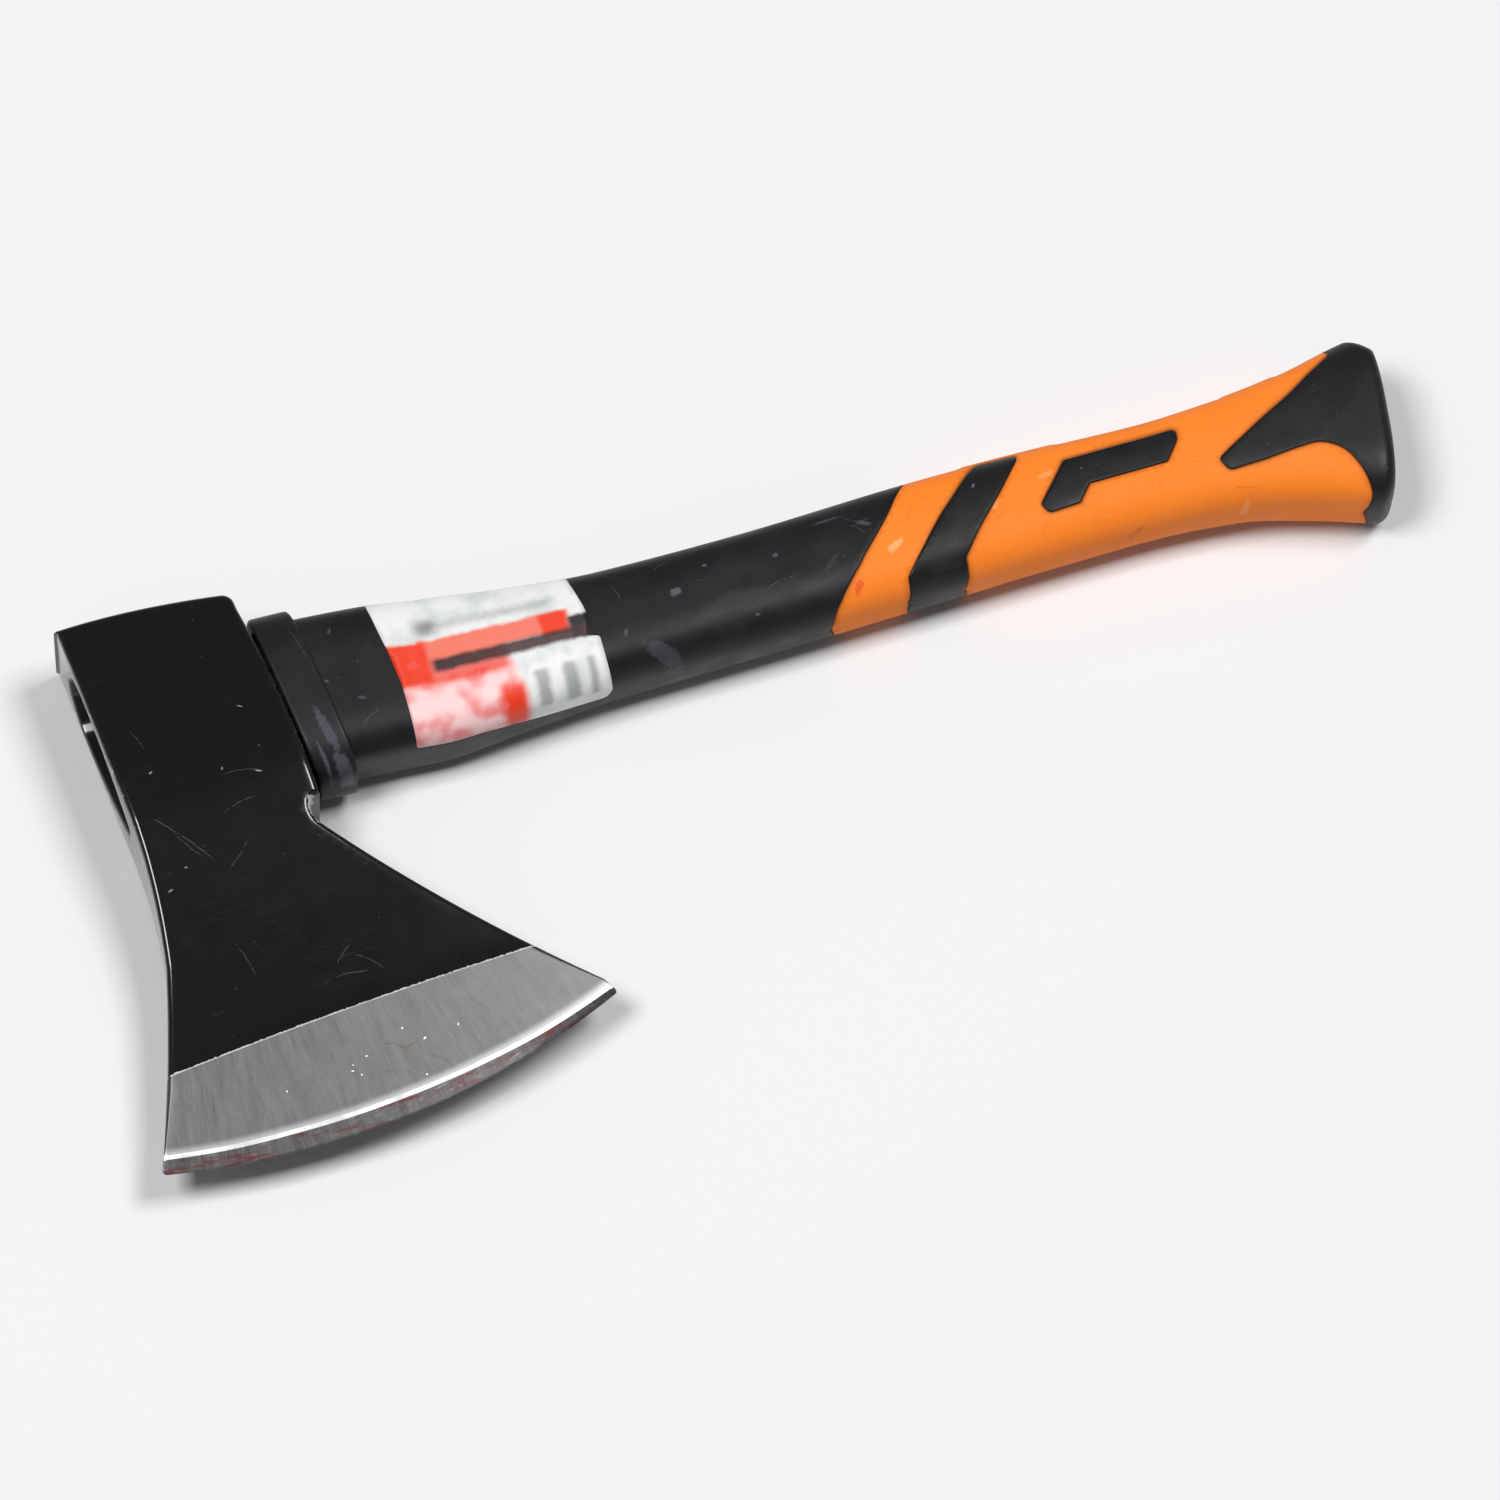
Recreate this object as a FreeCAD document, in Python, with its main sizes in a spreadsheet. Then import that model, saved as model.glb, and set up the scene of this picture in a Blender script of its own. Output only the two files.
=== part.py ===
import FreeCAD, Part
import math
import os
import Sketcher
from FreeCAD import Placement, Rotation, Vector

# Short-handled forged axe lying on its side, as it is laid down on a bench.
# Drawing frame, millimetres: X runs along the handle from the head to the butt, with X = 0 at the
# corner of the poll on the head's outer face; +Y is the poll side and the cutting edge faces -Y;
# Z = 0 is the plane of symmetry through the blade. Each sub-part's Placement then moves the
# drawing frame so that the finished axe stands on Z = 0 with the origin under its middle.

DIMENSIONS = {
    # where the drawing frame's origin lies in the finished part
    "frame_x": -177.77, "frame_y": 77.04, "frame_z": 15.0,
    # head, seen on its cheek
    "poll_inner_x": 47.6, "poll_inner_y": -1.6, "poll_crown": 220.0,
    "shoulder_x": 48.7, "shoulder_y": -6.5,
    "underside_end_x": 56.2, "underside_end_y": -62.6, "underside_bow": 380.0,
    "notch_x": 52.3, "notch_y": -65.2, "heel_start_x": 54.6, "heel_start_y": -70.0,
    "heel_end_x": 116.0, "heel_end_y": -129.8, "heel_sweep": 600.0,
    "heel_corner_x": 118.0, "heel_corner_y": -133.3,
    "edge_radius": 212.0, "edge_centre_x": 25.2, "edge_centre_y": 57.3,
    "toe_x": -9.7, "toe_y": -151.8,
    "outer_bend_low_x": 5.2, "outer_bend_low_y": -98.0, "toe_sweep": 460.0,
    "outer_bend_high_x": 6.4, "outer_bend_high_y": -58.0, "outer_bend": 190.0,
    # head, half thickness along the blade
    "half_poll": 14.0, "half_eye": 15.0, "eye_start_y": -16.0, "eye_end_y": -52.0,
    "half_neck": 11.2, "neck_y": -70.0, "half_cheek": 7.2, "cheek_y": -95.0,
    "half_bevel": 4.9, "bevel_y": -119.0,
    "bevel_width": 31.0, "half_fine": 1.1, "fine_width": 4.6, "half_edge": 0.12,
    # eye
    "eye_top_y": -9.4, "eye_wide_y": -22.0, "eye_half": 10.8, "eye_crown": 12.0,
    "eye_flank": 75.0, "eye_nose_y": -54.0, "eye_nose": 3.0, "eye_tip": 3.3,
    "fill_start_x": 7.0, "fill_end_x": 50.0,
    # core rod
    "core_start_x": 10.0, "core_end_x": 335.0, "core_y": -30.0, "core_depth": 9.5,
    "core_thick": 6.5,
    # collar of the jacket
    "collar_top_y": -6.9, "collar_low_y": -60.6, "collar_top_x": 50.3, "collar_low_x": 57.4,
    "collar_top_back": 61.6, "collar_low_back": 67.6, "collar_half": 14.7, "collar_middle": -33.75,
    "collar_depth": 26.85,
    # butt end
    "butt_top_x": 365.2, "butt_top_y": 2.0, "butt_low_x": 355.8, "butt_low_y": -62.0,
    "butt_bow": 190.0, "butt_round": 4.5,
    # thickness of the grip
    "grip_depth": 2.5,
    # label film
    "label_film": 0.2,
}

# Handle sections along X: middle in Y, half depth in Y, half thickness in Z
HANDLE_SECTIONS = (
    (60.0, -32.5, 24.1, 14.0),
    (80.0, -33.0, 24.1, 13.8),
    (97.0, -34.2, 22.8, 13.4),
    (118.0, -34.0, 20.0, 13.0),
    (145.0, -33.7, 17.7, 12.8),
    (185.0, -32.3, 17.2, 12.8),
    (230.0, -29.7, 17.5, 12.8),
    (265.0, -28.3, 16.7, 12.8),
    (295.0, -27.9, 16.0, 12.8),
    (318.0, -27.6, 17.5, 13.4),
    (338.0, -28.4, 21.2, 14.3),
    (352.0, -29.9, 25.9, 14.6),
    (372.0, -31.8, 30.0, 14.7),
)
for number, section in enumerate(HANDLE_SECTIONS, start=1):
    for word, value in zip(("station", "middle", "depth", "thick"), section):
        DIMENSIONS[f"{word}_{number}"] = value

# Outlines on the handle's side, as corners in the drawing frame
ORANGE_START = ((236.0, -2.0), (218.0, -30.2), (206.5, -43.2), (196.0, -62.0))
BUTT_LINE = (
    (352.5, 4.0), (350.0, -6.0), (315.5, -31.6), (315.2, -34.6), (317.8, -36.1),
    (338.5, -33.7), (345.5, -36.2), (349.6, -42.0), (350.8, -49.0), (344.0, -62.0),
)
BAND = (
    (250.8, -14.6), (237.4, -27.5), (223.7, -43.7), (222.8, -48.9), (219.0, -64.0),
    (235.5, -64.0), (238.9, -47.9), (240.1, -42.3), (250.3, -30.2), (262.0, -16.0),
    (260.0, -14.2),
)
BAR = (
    (273.9, -21.5), (304.2, -20.0), (305.6, -21.8), (300.9, -28.4), (278.6, -29.9),
    (275.0, -34.4), (266.3, -35.1), (264.5, -32.4),
)
LABEL = ((82.6, -14.6), (86.6, -53.4), (138.4, -50.0), (139.0, -39.0), (136.6, -19.0))
for name, corners in (("start", ORANGE_START), ("butt", BUTT_LINE), ("band", BAND),
                      ("bar", BAR), ("label", LABEL)):
    for number, (x, y) in enumerate(corners, start=1):
        DIMENSIONS[f"{name}_x_{number}"] = x
        DIMENSIONS[f"{name}_y_{number}"] = y

OUTSIDE = 40.0          # how far cutting shapes reach past the solid
ALONG = 420.0           # longer than the whole axe


def size(name):
    return DIMENSIONS[name]


def cell(name):
    return f"dimensions.{name}"


def make_sheet(doc):
    sheet = doc.addObject("Spreadsheet::Sheet", "dimensions")
    for row, (name, value) in enumerate(DIMENSIONS.items(), start=1):
        sheet.set(f"A{row}", name)
        sheet.set(f"B{row}", str(value))
        sheet.setAlias(f"B{row}", name)
    doc.recompute()


def place(item, label):
    """Names a finished sub-part and moves it from the drawing frame to the part's frame."""
    item.Label = label
    item.setExpression("Placement.Base.x", cell("frame_x"))
    item.setExpression("Placement.Base.y", cell("frame_y"))
    item.setExpression("Placement.Base.z", cell("frame_z"))
    return item


# ---- sketches: a coordinate is a dimension's name, "-" and its name, or a plain number ----

def number_of(value):
    if not isinstance(value, str):
        return value
    return -size(value[1:]) if value.startswith("-") else size(value)


def bind(sketch, rule, value, factor=1):
    """Ties a constraint to its cell in the sheet."""
    if isinstance(value, str):
        sign = "-" if value.startswith("-") else ""
        sketch.setExpression(f"Constraints[{rule}]", f"{sign}{factor} * {cell(value.strip('-'))}")


def body_sketch(body, name, role, offset=None):
    """A sketch on one of the body's own origin planes."""
    sketch = body.newObject("Sketcher::SketchObject", name)
    plane = next(item for item in body.Origin.OriginFeatures if item.Role == role)
    sketch.AttachmentSupport = [(plane, "")]
    sketch.MapMode = "FlatFace"
    if offset is not None:
        sketch.AttachmentOffset = Placement(offset, Rotation())
    return sketch


def flat_sketch(doc, name):
    """A free sketch on the plane of symmetry."""
    return doc.addObject("Sketcher::SketchObject", name)


def section_sketch(doc, name, station=None):
    """A free sketch across the handle: its first axis is Y and its second is Z."""
    sketch = doc.addObject("Sketcher::SketchObject", name)
    sketch.Placement = Placement(Vector(), Rotation(Vector(1, 1, 1), 120))
    if station is not None:
        sketch.setExpression("Placement.Base.x", cell(station))
    return sketch


def bulged_middle(start, end, radius):
    """The middle of the arc from start to end, which bulges to the left if radius > 0."""
    chord = end - start
    half = chord.Length / 2
    rise = abs(radius) - math.sqrt(max(radius * radius - half * half, 0))
    left = Vector(-chord.y, chord.x, 0).normalize()
    return (start + end) / 2 + left * math.copysign(rise, radius)


def draw_outline(sketch, corners, arcs=None):
    """A closed outline. arcs maps a corner's number to (radius name, side) of the edge after it."""
    arcs = arcs or {}
    points = [Vector(number_of(x), number_of(y), 0) for x, y in corners]
    ends = []
    for number, start in enumerate(points):
        end = points[(number + 1) % len(points)]
        if number in arcs:
            radius, side = arcs[number]
            middle = bulged_middle(start, end, side * size(radius))
            edge = sketch.addGeometry(Part.Arc(start, middle, end))
            forward = (sketch.getPoint(edge, 1) - start).Length < 1e-6
            ends.append((edge, 1, 2) if forward else (edge, 2, 1))
            rule = sketch.addConstraint(Sketcher.Constraint("Radius", edge, size(radius)))
            bind(sketch, rule, radius)
        else:
            edge = sketch.addGeometry(Part.LineSegment(start, end))
            ends.append((edge, 1, 2))
    for number, (edge, first, last) in enumerate(ends):
        next_edge, next_first, next_last = ends[(number + 1) % len(ends)]
        sketch.addConstraint(Sketcher.Constraint("Coincident", edge, last, next_edge, next_first))
        for kind, value in zip(("DistanceX", "DistanceY"), corners[number]):
            rule = sketch.addConstraint(
                Sketcher.Constraint(kind, -1, 1, edge, first, number_of(value)))
            bind(sketch, rule, value)


def draw_ellipse(sketch, middle, depth, thick, grow=0.0):
    """An ellipse centred on the first axis, with its half sizes in named cells plus grow."""
    half_depth, half_thick = size(depth) + grow, size(thick) + grow
    centre = Vector(size(middle), 0, 0)
    edge = sketch.addGeometry(Part.Ellipse(centre, half_depth, half_thick))
    sketch.exposeInternalGeometry(edge)
    sketch.addConstraint(Sketcher.Constraint("Horizontal", edge + 1))
    sketch.addConstraint(Sketcher.Constraint("PointOnObject", edge, 3, -1))
    rule = sketch.addConstraint(
        Sketcher.Constraint("DistanceX", -1, 1, edge, 3, size(middle)))
    bind(sketch, rule, middle)
    for axis, name, half in ((1, depth, half_depth), (2, thick, half_thick)):
        rule = sketch.addConstraint(Sketcher.Constraint("Distance", edge + axis, 2 * half))
        sketch.setExpression(f"Constraints[{rule}]", f"2 * ({cell(name)} + {grow})")


def draw_eye(sketch):
    """Teardrop eye: a wide round end towards the poll and a narrow end towards the edge."""
    draw_outline(sketch, [
        ("eye_wide_y", "eye_half"), ("eye_top_y", 0.0), ("eye_wide_y", "-eye_half"),
        ("eye_nose_y", "-eye_nose"), ("eye_nose_y", "eye_nose"),
    ], {0: ("eye_crown", 1), 1: ("eye_crown", 1), 2: ("eye_flank", 1), 3: ("eye_tip", 1),
        4: ("eye_flank", 1)})


def corner_names(name, corners):
    return [(f"{name}_x_{number}", f"{name}_y_{number}")
            for number in range(1, len(corners) + 1)]


# ---- the steel head ----

def cut_through(doc, body, name, sketch):
    """A pocket through everything on both sides of its sketch; stops if it takes nothing away."""
    pocket = body.newObject("PartDesign::Pocket", name)
    pocket.Profile = sketch
    pocket.Type = "ThroughAll"
    pocket.Midplane = True
    doc.recompute()
    check_cut(pocket)


def check_cut(feature):
    if feature.BaseFeature.Shape.Volume - feature.Shape.Volume < 1.0:
        raise RuntimeError(f"{feature.Name} cuts nothing")


def make_head(doc):
    """Forged head: outline on the cheek, thickness profile, ground bevels, and the eye."""
    body = doc.addObject("PartDesign::Body", "head_body")
    outline = body_sketch(body, "head_outline", "XY_Plane")
    draw_outline(outline, [
        (0.0, 0.0), ("poll_inner_x", "poll_inner_y"), ("shoulder_x", "shoulder_y"),
        ("underside_end_x", "underside_end_y"), ("notch_x", "notch_y"),
        ("heel_start_x", "heel_start_y"), ("heel_end_x", "heel_end_y"),
        ("heel_corner_x", "heel_corner_y"), ("toe_x", "toe_y"),
        ("outer_bend_low_x", "outer_bend_low_y"), ("outer_bend_high_x", "outer_bend_high_y"),
    ], {0: ("poll_crown", 1), 2: ("underside_bow", 1), 5: ("heel_sweep", -1),
        7: ("edge_radius", 1), 8: ("toe_sweep", -1), 9: ("outer_bend", -1)})
    forging = body.newObject("PartDesign::Pad", "forging")
    forging.Profile = outline
    forging.Midplane = True
    forging.setExpression("Length", f"2 * {cell('half_eye')}")
    doc.recompute()
    for side, sign in (("upper", ""), ("lower", "-")):
        taper_cheek(doc, body, side, sign)
        grind_bevel(doc, body, side, sign)
    eye = body_sketch(body, "eye_outline", "YZ_Plane")
    draw_eye(eye)
    cut_through(doc, body, "eye", eye)
    return place(body, "axe_head")


def taper_cheek(doc, body, side, sign):
    """Takes off what lies outside the thickness profile, which is drawn along the blade."""
    outside = -OUTSIDE if sign else OUTSIDE
    profile = body_sketch(body, f"cheek_profile_{side}", "YZ_Plane")
    draw_outline(profile, [
        (OUTSIDE / 4, outside), (OUTSIDE / 4, sign + "half_poll"), (0.0, sign + "half_poll"),
        ("eye_start_y", sign + "half_eye"), ("eye_end_y", sign + "half_eye"),
        ("neck_y", sign + "half_neck"), ("cheek_y", sign + "half_cheek"),
        ("bevel_y", sign + "half_bevel"), ("toe_y", sign + "half_bevel"),
        (-5 * OUTSIDE, sign + "half_bevel"), (-5 * OUTSIDE, outside),
    ])
    cut_through(doc, body, f"cheek_taper_{side}", profile)


def grind_bevel(doc, body, side, sign):
    """The main bevel and the fine bevel, both turned about the centre of the cutting edge's arc."""
    outside = -OUTSIDE if sign else OUTSIDE
    direction = -1 if sign else 1
    radius = size("edge_radius")
    fine, wide = size("fine_width"), size("bevel_width")
    slope = (size("half_bevel") - size("half_fine")) / (wide - fine)
    reach = 2 * wide
    centre = Vector(size("edge_centre_y"), 0, size("edge_centre_x"))
    profile = body_sketch(body, f"bevel_profile_{side}", "YZ_Plane", centre)
    draw_outline(profile, [
        (reach - radius, outside),
        (reach - radius, direction * (size("half_fine") + slope * (reach - fine))),
        (fine - radius, sign + "half_fine"), (-radius, sign + "half_edge"),
        (-OUTSIDE - radius, sign + "half_edge"), (-OUTSIDE - radius, outside),
    ])
    bevel = body.newObject("PartDesign::Groove", f"bevel_{side}")
    bevel.Profile = profile
    bevel.ReferenceAxis = (profile, ["V_Axis"])
    bevel.Angle = 360.0
    doc.recompute()
    check_cut(bevel)


# ---- what holds the head: the core rod and the adhesive in the eye ----

def make_core(doc):
    """Glass-fibre rod that runs from the eye to near the butt."""
    body = doc.addObject("PartDesign::Body", "core_body")
    section = body_sketch(body, "core_section", "YZ_Plane", Vector(0, 0, size("core_start_x")))
    draw_ellipse(section, "core_y", "core_depth", "core_thick")
    rod = body.newObject("PartDesign::Pad", "rod")
    rod.Profile = section
    rod.setExpression("Length", f"{cell('core_end_x')} - {cell('core_start_x')}")
    return place(body, "core_rod")


def make_adhesive(doc):
    """Cast adhesive that fills the eye round the rod, set back from the head's outer face."""
    body = doc.addObject("PartDesign::Body", "adhesive_body")
    section = body_sketch(body, "fill_section", "YZ_Plane", Vector(0, 0, size("fill_start_x")))
    draw_eye(section)
    fill = body.newObject("PartDesign::Pad", "fill")
    fill.Profile = section
    fill.setExpression("Length", f"{cell('fill_end_x')} - {cell('fill_start_x')}")
    doc.recompute()
    hole = body_sketch(body, "rod_hole", "YZ_Plane", Vector(0, 0, size("core_start_x")))
    draw_ellipse(hole, "core_y", "core_depth", "core_thick")
    pocket = body.newObject("PartDesign::Pocket", "rod_room")
    pocket.Profile = hole
    pocket.Type = "ThroughAll"
    pocket.Reversed = True
    doc.recompute()
    check_cut(pocket)
    return place(body, "eye_adhesive")


# ---- the handle ----

def loft_handle(doc, name, grow):
    """The handle's outer form, larger by grow all round, through its sections."""
    sections = []
    for number in range(1, len(HANDLE_SECTIONS) + 1):
        sketch = section_sketch(doc, f"{name}_section_{number}", f"station_{number}")
        draw_ellipse(sketch, f"middle_{number}", f"depth_{number}", f"thick_{number}", grow)
        sections.append(sketch)
    loft = doc.addObject("Part::Loft", name)
    loft.Sections = sections
    loft.Solid = True
    return loft


def extrude(doc, name, sketch, forward, backward):
    solid = doc.addObject("Part::Extrusion", name)
    solid.Base = sketch
    solid.DirMode = "Normal"
    solid.LengthFwd = forward
    solid.LengthRev = backward
    solid.Solid = True
    return solid


def prism(doc, name, corners, arcs=None):
    """An outline on the handle's side, extruded through it both ways."""
    sketch = flat_sketch(doc, f"{name}_outline")
    draw_outline(sketch, corners, arcs)
    return extrude(doc, name, sketch, OUTSIDE, OUTSIDE)


def combine(doc, kind, name, base, tool):
    item = doc.addObject(f"Part::{kind}", name)
    item.Base = base
    item.Tool = tool
    return item


def fuse(doc, name, shapes):
    item = doc.addObject("Part::MultiFuse", name)
    item.Shapes = shapes
    return item


def make_form(doc):
    """The handle's outer form, trimmed by the bowed butt end."""
    trim = prism(doc, "butt_trim", [
        (0.0, OUTSIDE), ("butt_top_x", OUTSIDE), ("butt_top_x", "butt_top_y"),
        ("butt_low_x", "butt_low_y"), ("butt_low_x", -3 * OUTSIDE), (0.0, -3 * OUTSIDE),
    ], {2: ("butt_bow", 1)})
    sharp = combine(doc, "Common", "handle_sharp", loft_handle(doc, "handle_blank", 0.0), trim)
    doc.recompute()
    form = doc.addObject("Part::Fillet", "handle_form")
    form.Base = sharp
    radius = size("butt_round")
    form.Edges = [(number, radius, radius) for number, edge in enumerate(sharp.Shape.Edges, start=1)
                  if edge.CenterOfMass.x > size("butt_low_x")]
    return form


def make_collar(doc):
    """Band of the jacket behind the head, slanted like the head's underside."""
    band = prism(doc, "collar_band", [
        ("collar_top_x", OUTSIDE), ("collar_top_x", "collar_top_y"),
        ("collar_low_x", "collar_low_y"), ("collar_low_x", -2 * OUTSIDE),
        ("collar_low_back", -2 * OUTSIDE), ("collar_low_back", "collar_low_y"),
        ("collar_top_back", "collar_top_y"), ("collar_top_back", OUTSIDE),
    ])
    section = section_sketch(doc, "collar_section")
    draw_ellipse(section, "collar_middle", "collar_depth", "collar_half")
    return combine(doc, "Common", "collar", extrude(doc, "collar_bar", section, ALONG, 0.0), band)


def make_grip_tools(doc, form):
    """The orange region's blank, and what is taken out of it: the core and the black islands."""
    outline = corner_names("start", ORANGE_START)[::-1] + corner_names("butt", BUTT_LINE)
    blank = combine(doc, "Common", "grip_blank", form, prism(doc, "grip_prism", outline))
    inside = loft_handle(doc, "handle_inside", -size("grip_depth"))
    band = prism(doc, "band_prism", corner_names("band", BAND))
    bar = prism(doc, "bar_prism", corner_names("bar", BAR))
    return blank, fuse(doc, "grip_inside", [inside, band, bar])


def make_handle(doc):
    form = make_form(doc)
    collar = make_collar(doc)
    blank, inside = make_grip_tools(doc, form)
    grip = combine(doc, "Cut", "grip_cut", blank, inside)
    grip_room = combine(doc, "Cut", "grip_room", blank, inside)
    core_section = section_sketch(doc, "core_room_section", "core_start_x")
    draw_ellipse(core_section, "core_y", "core_depth", "core_thick")
    core_room = extrude(doc, "core_room", core_section, 0.0, 0.0)
    core_room.setExpression("LengthFwd", f"{cell('core_end_x')} - {cell('core_start_x')}")
    whole = fuse(doc, "jacket_whole", [form, collar])
    hollow = combine(doc, "Cut", "jacket_hollow", whole, core_room)
    jacket = combine(doc, "Cut", "jacket_cut", hollow, grip_room)
    return place(jacket, "handle_jacket"), place(grip, "grip_overmould")


def make_label(doc):
    """Printed film on the upper side of the jacket."""
    outer = loft_handle(doc, "label_outer", size("label_film"))
    sketch = flat_sketch(doc, "label_outline")
    draw_outline(sketch, corner_names("label", LABEL))
    blank = combine(doc, "Common", "label_blank", outer,
                    extrude(doc, "label_prism", sketch, OUTSIDE, 0.0))
    film = combine(doc, "Cut", "label_cut", blank, loft_handle(doc, "label_inner", 0.0))
    return place(film, "label_film")


# ---- the document ----

def check(doc, parts):
    doc.recompute()
    for item in doc.Objects:
        if "Invalid" in item.State or "Error" in item.State:
            raise RuntimeError(f"{item.Name} did not build: {item.State}")
    for part in parts:
        if part.Shape.isNull() or not part.Shape.isValid():
            raise RuntimeError(f"{part.Label} has no valid shape")


def main():
    doc = FreeCAD.newDocument("axe")
    make_sheet(doc)
    parts = [make_head(doc), make_core(doc), make_adhesive(doc)]
    parts += make_handle(doc)
    parts.append(make_label(doc))
    check(doc, parts)
    os.makedirs("parts", exist_ok=True)
    whole = FreeCAD.BoundBox()
    for part in parts:
        part.Shape.exportStep(os.path.join("parts", f"{part.Label}.step"))
        whole.add(part.Shape.optimalBoundingBox())
        print(f"{part.Label}: {part.Shape.Volume / 1000:.1f} cm3, {len(part.Shape.Solids)} solid(s)")
    print(f"x {whole.XMin:.2f} {whole.XMax:.2f}  y {whole.YMin:.2f} {whole.YMax:.2f}  "
          f"z {whole.ZMin:.2f} {whole.ZMax:.2f}")


main()
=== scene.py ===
import math

import bmesh
import bpy
import numpy as np
from mathutils import Matrix, Vector, kdtree, noise
from mathutils.geometry import delaunay_2d_cdt


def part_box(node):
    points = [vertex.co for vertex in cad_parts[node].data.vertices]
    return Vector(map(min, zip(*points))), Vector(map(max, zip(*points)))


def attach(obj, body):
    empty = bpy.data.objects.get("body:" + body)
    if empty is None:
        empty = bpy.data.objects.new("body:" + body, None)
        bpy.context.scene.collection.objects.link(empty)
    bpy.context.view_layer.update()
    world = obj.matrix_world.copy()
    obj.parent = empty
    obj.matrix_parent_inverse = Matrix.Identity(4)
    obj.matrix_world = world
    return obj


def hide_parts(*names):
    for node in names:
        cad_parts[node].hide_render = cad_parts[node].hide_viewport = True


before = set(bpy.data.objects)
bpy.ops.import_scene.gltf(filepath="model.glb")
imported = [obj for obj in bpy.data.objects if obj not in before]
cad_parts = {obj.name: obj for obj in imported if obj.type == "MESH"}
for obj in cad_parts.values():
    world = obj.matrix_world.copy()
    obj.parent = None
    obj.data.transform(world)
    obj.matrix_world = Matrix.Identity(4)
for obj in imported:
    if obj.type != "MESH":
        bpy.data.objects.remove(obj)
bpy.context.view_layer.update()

MM = 0.001

# ---------------------------------------------------------------------------
# The drawing frame, in millimetres: X along the handle from the head's outer
# face, Y = 0 at the poll with the cutting edge towards -Y, Z = 0 at mid-thickness.
# ---------------------------------------------------------------------------
TOE_OVERHANG = 9.7
POLL_CROWN_RISE = 0.62
head_low, head_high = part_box("axe_head")
ORIGIN = np.array([
    head_low.x / MM + TOE_OVERHANG,
    head_high.y / MM - POLL_CROWN_RISE,
    (head_low.z + head_high.z) / 2 / MM,
])
HALF_EYE = (head_high.z - head_low.z) / 2 / MM


def to_metres(points):
    """From the drawing frame to the CAD frame."""
    return (np.asarray(points, float) + ORIGIN) * MM


def smooth_step(value):
    value = np.clip(value, 0.0, 1.0)
    return value * value * (3 - 2 * value)


def spline(stations, values, at):
    """Smooth curve through the stations that doesn't overshoot them."""
    stations = np.asarray(stations, float)
    values = np.asarray(values, float)
    width = np.diff(stations)
    slope = np.diff(values) / width
    tangent = np.zeros(len(values))
    tangent[0], tangent[-1] = slope[0], slope[-1]
    for i in range(1, len(values) - 1):
        if slope[i - 1] * slope[i] > 0:
            near, far = 2 * width[i] + width[i - 1], width[i] + 2 * width[i - 1]
            tangent[i] = (near + far) / (near / slope[i - 1] + far / slope[i])
    at = np.clip(at, stations[0], stations[-1])
    i = np.clip(np.searchsorted(stations, at) - 1, 0, len(width) - 1)
    t = (at - stations[i]) / width[i]
    return ((2 * t**3 - 3 * t**2 + 1) * values[i] + (t**3 - 2 * t**2 + t) * width[i] * tangent[i]
            + (3 * t**2 - 2 * t**3) * values[i + 1] + (t**3 - t**2) * width[i] * tangent[i + 1])


# ---- flat geometry ----

def arc(start, end, radius, step=1.0):
    """Points from start up to, not including, end; a positive radius bulges to the left."""
    start, end = np.array(start, float), np.array(end, float)
    chord = end - start
    length = np.hypot(*chord)
    if radius == 0:
        count = max(1, int(math.ceil(length / step)))
        return [start + chord * i / count for i in range(count)]
    left = np.array([-chord[1], chord[0]]) / length
    half_turn = math.asin(min(1.0, length / 2 / abs(radius)))
    centre = (start + end) / 2 - left * math.copysign(abs(radius) * math.cos(half_turn), radius)
    first = math.atan2(*(start - centre)[::-1])
    turn = -2 * math.copysign(half_turn, radius)
    count = max(2, int(math.ceil(abs(turn * radius) / step)))
    return [centre + abs(radius) * np.array([math.cos(first + turn * i / count),
                                             math.sin(first + turn * i / count)])
            for i in range(count)]


def outline(corners, step=1.0):
    """A closed polygon from (x, y, radius of the edge after it) corners."""
    points = []
    for i, (x, y, radius) in enumerate(corners):
        following = corners[(i + 1) % len(corners)]
        points += arc((x, y), following[:2], radius, step)
    return np.array(points)


def rounded(corners, radius, step, closed):
    """A polygon whose corners are rounded off, each by (x, y) or (x, y, its own radius)."""
    points = []
    count = len(corners)
    for i in range(count):
        here = np.array(corners[i][:2], float)
        if not closed and i in (0, count - 1):
            points.append(here)
            continue
        reach = corners[i][2] if len(corners[i]) > 2 else radius
        before = np.array(corners[i - 1][:2], float) - here
        after = np.array(corners[(i + 1) % count][:2], float) - here
        half = math.acos(np.clip(before @ after / np.hypot(*before) / np.hypot(*after), -1, 1)) / 2
        cut = min(reach / max(math.tan(half), 1e-6), 0.48 * np.hypot(*before),
                  0.48 * np.hypot(*after))
        start = here + before / np.hypot(*before) * cut
        end = here + after / np.hypot(*after) * cut
        for t in np.linspace(0, 1, 9):
            points.append((1 - t)**2 * start + 2 * t * (1 - t) * here + t**2 * end)
    return resample(np.array(points), step, closed)


def resample(points, step, closed=False):
    """Points at even steps along a line."""
    points = np.asarray(points, float)
    if closed:
        points = np.vstack([points, points[:1]])
    seg = np.hypot(*np.diff(points, axis=0).T)
    along = np.concatenate([[0], np.cumsum(seg)])
    count = max(2, int(round(along[-1] / step)))
    at = np.linspace(0, along[-1], count + 1)
    result = np.stack([np.interp(at, along, points[:, k]) for k in (0, 1)], axis=1)
    return result[:-1] if closed else result


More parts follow.
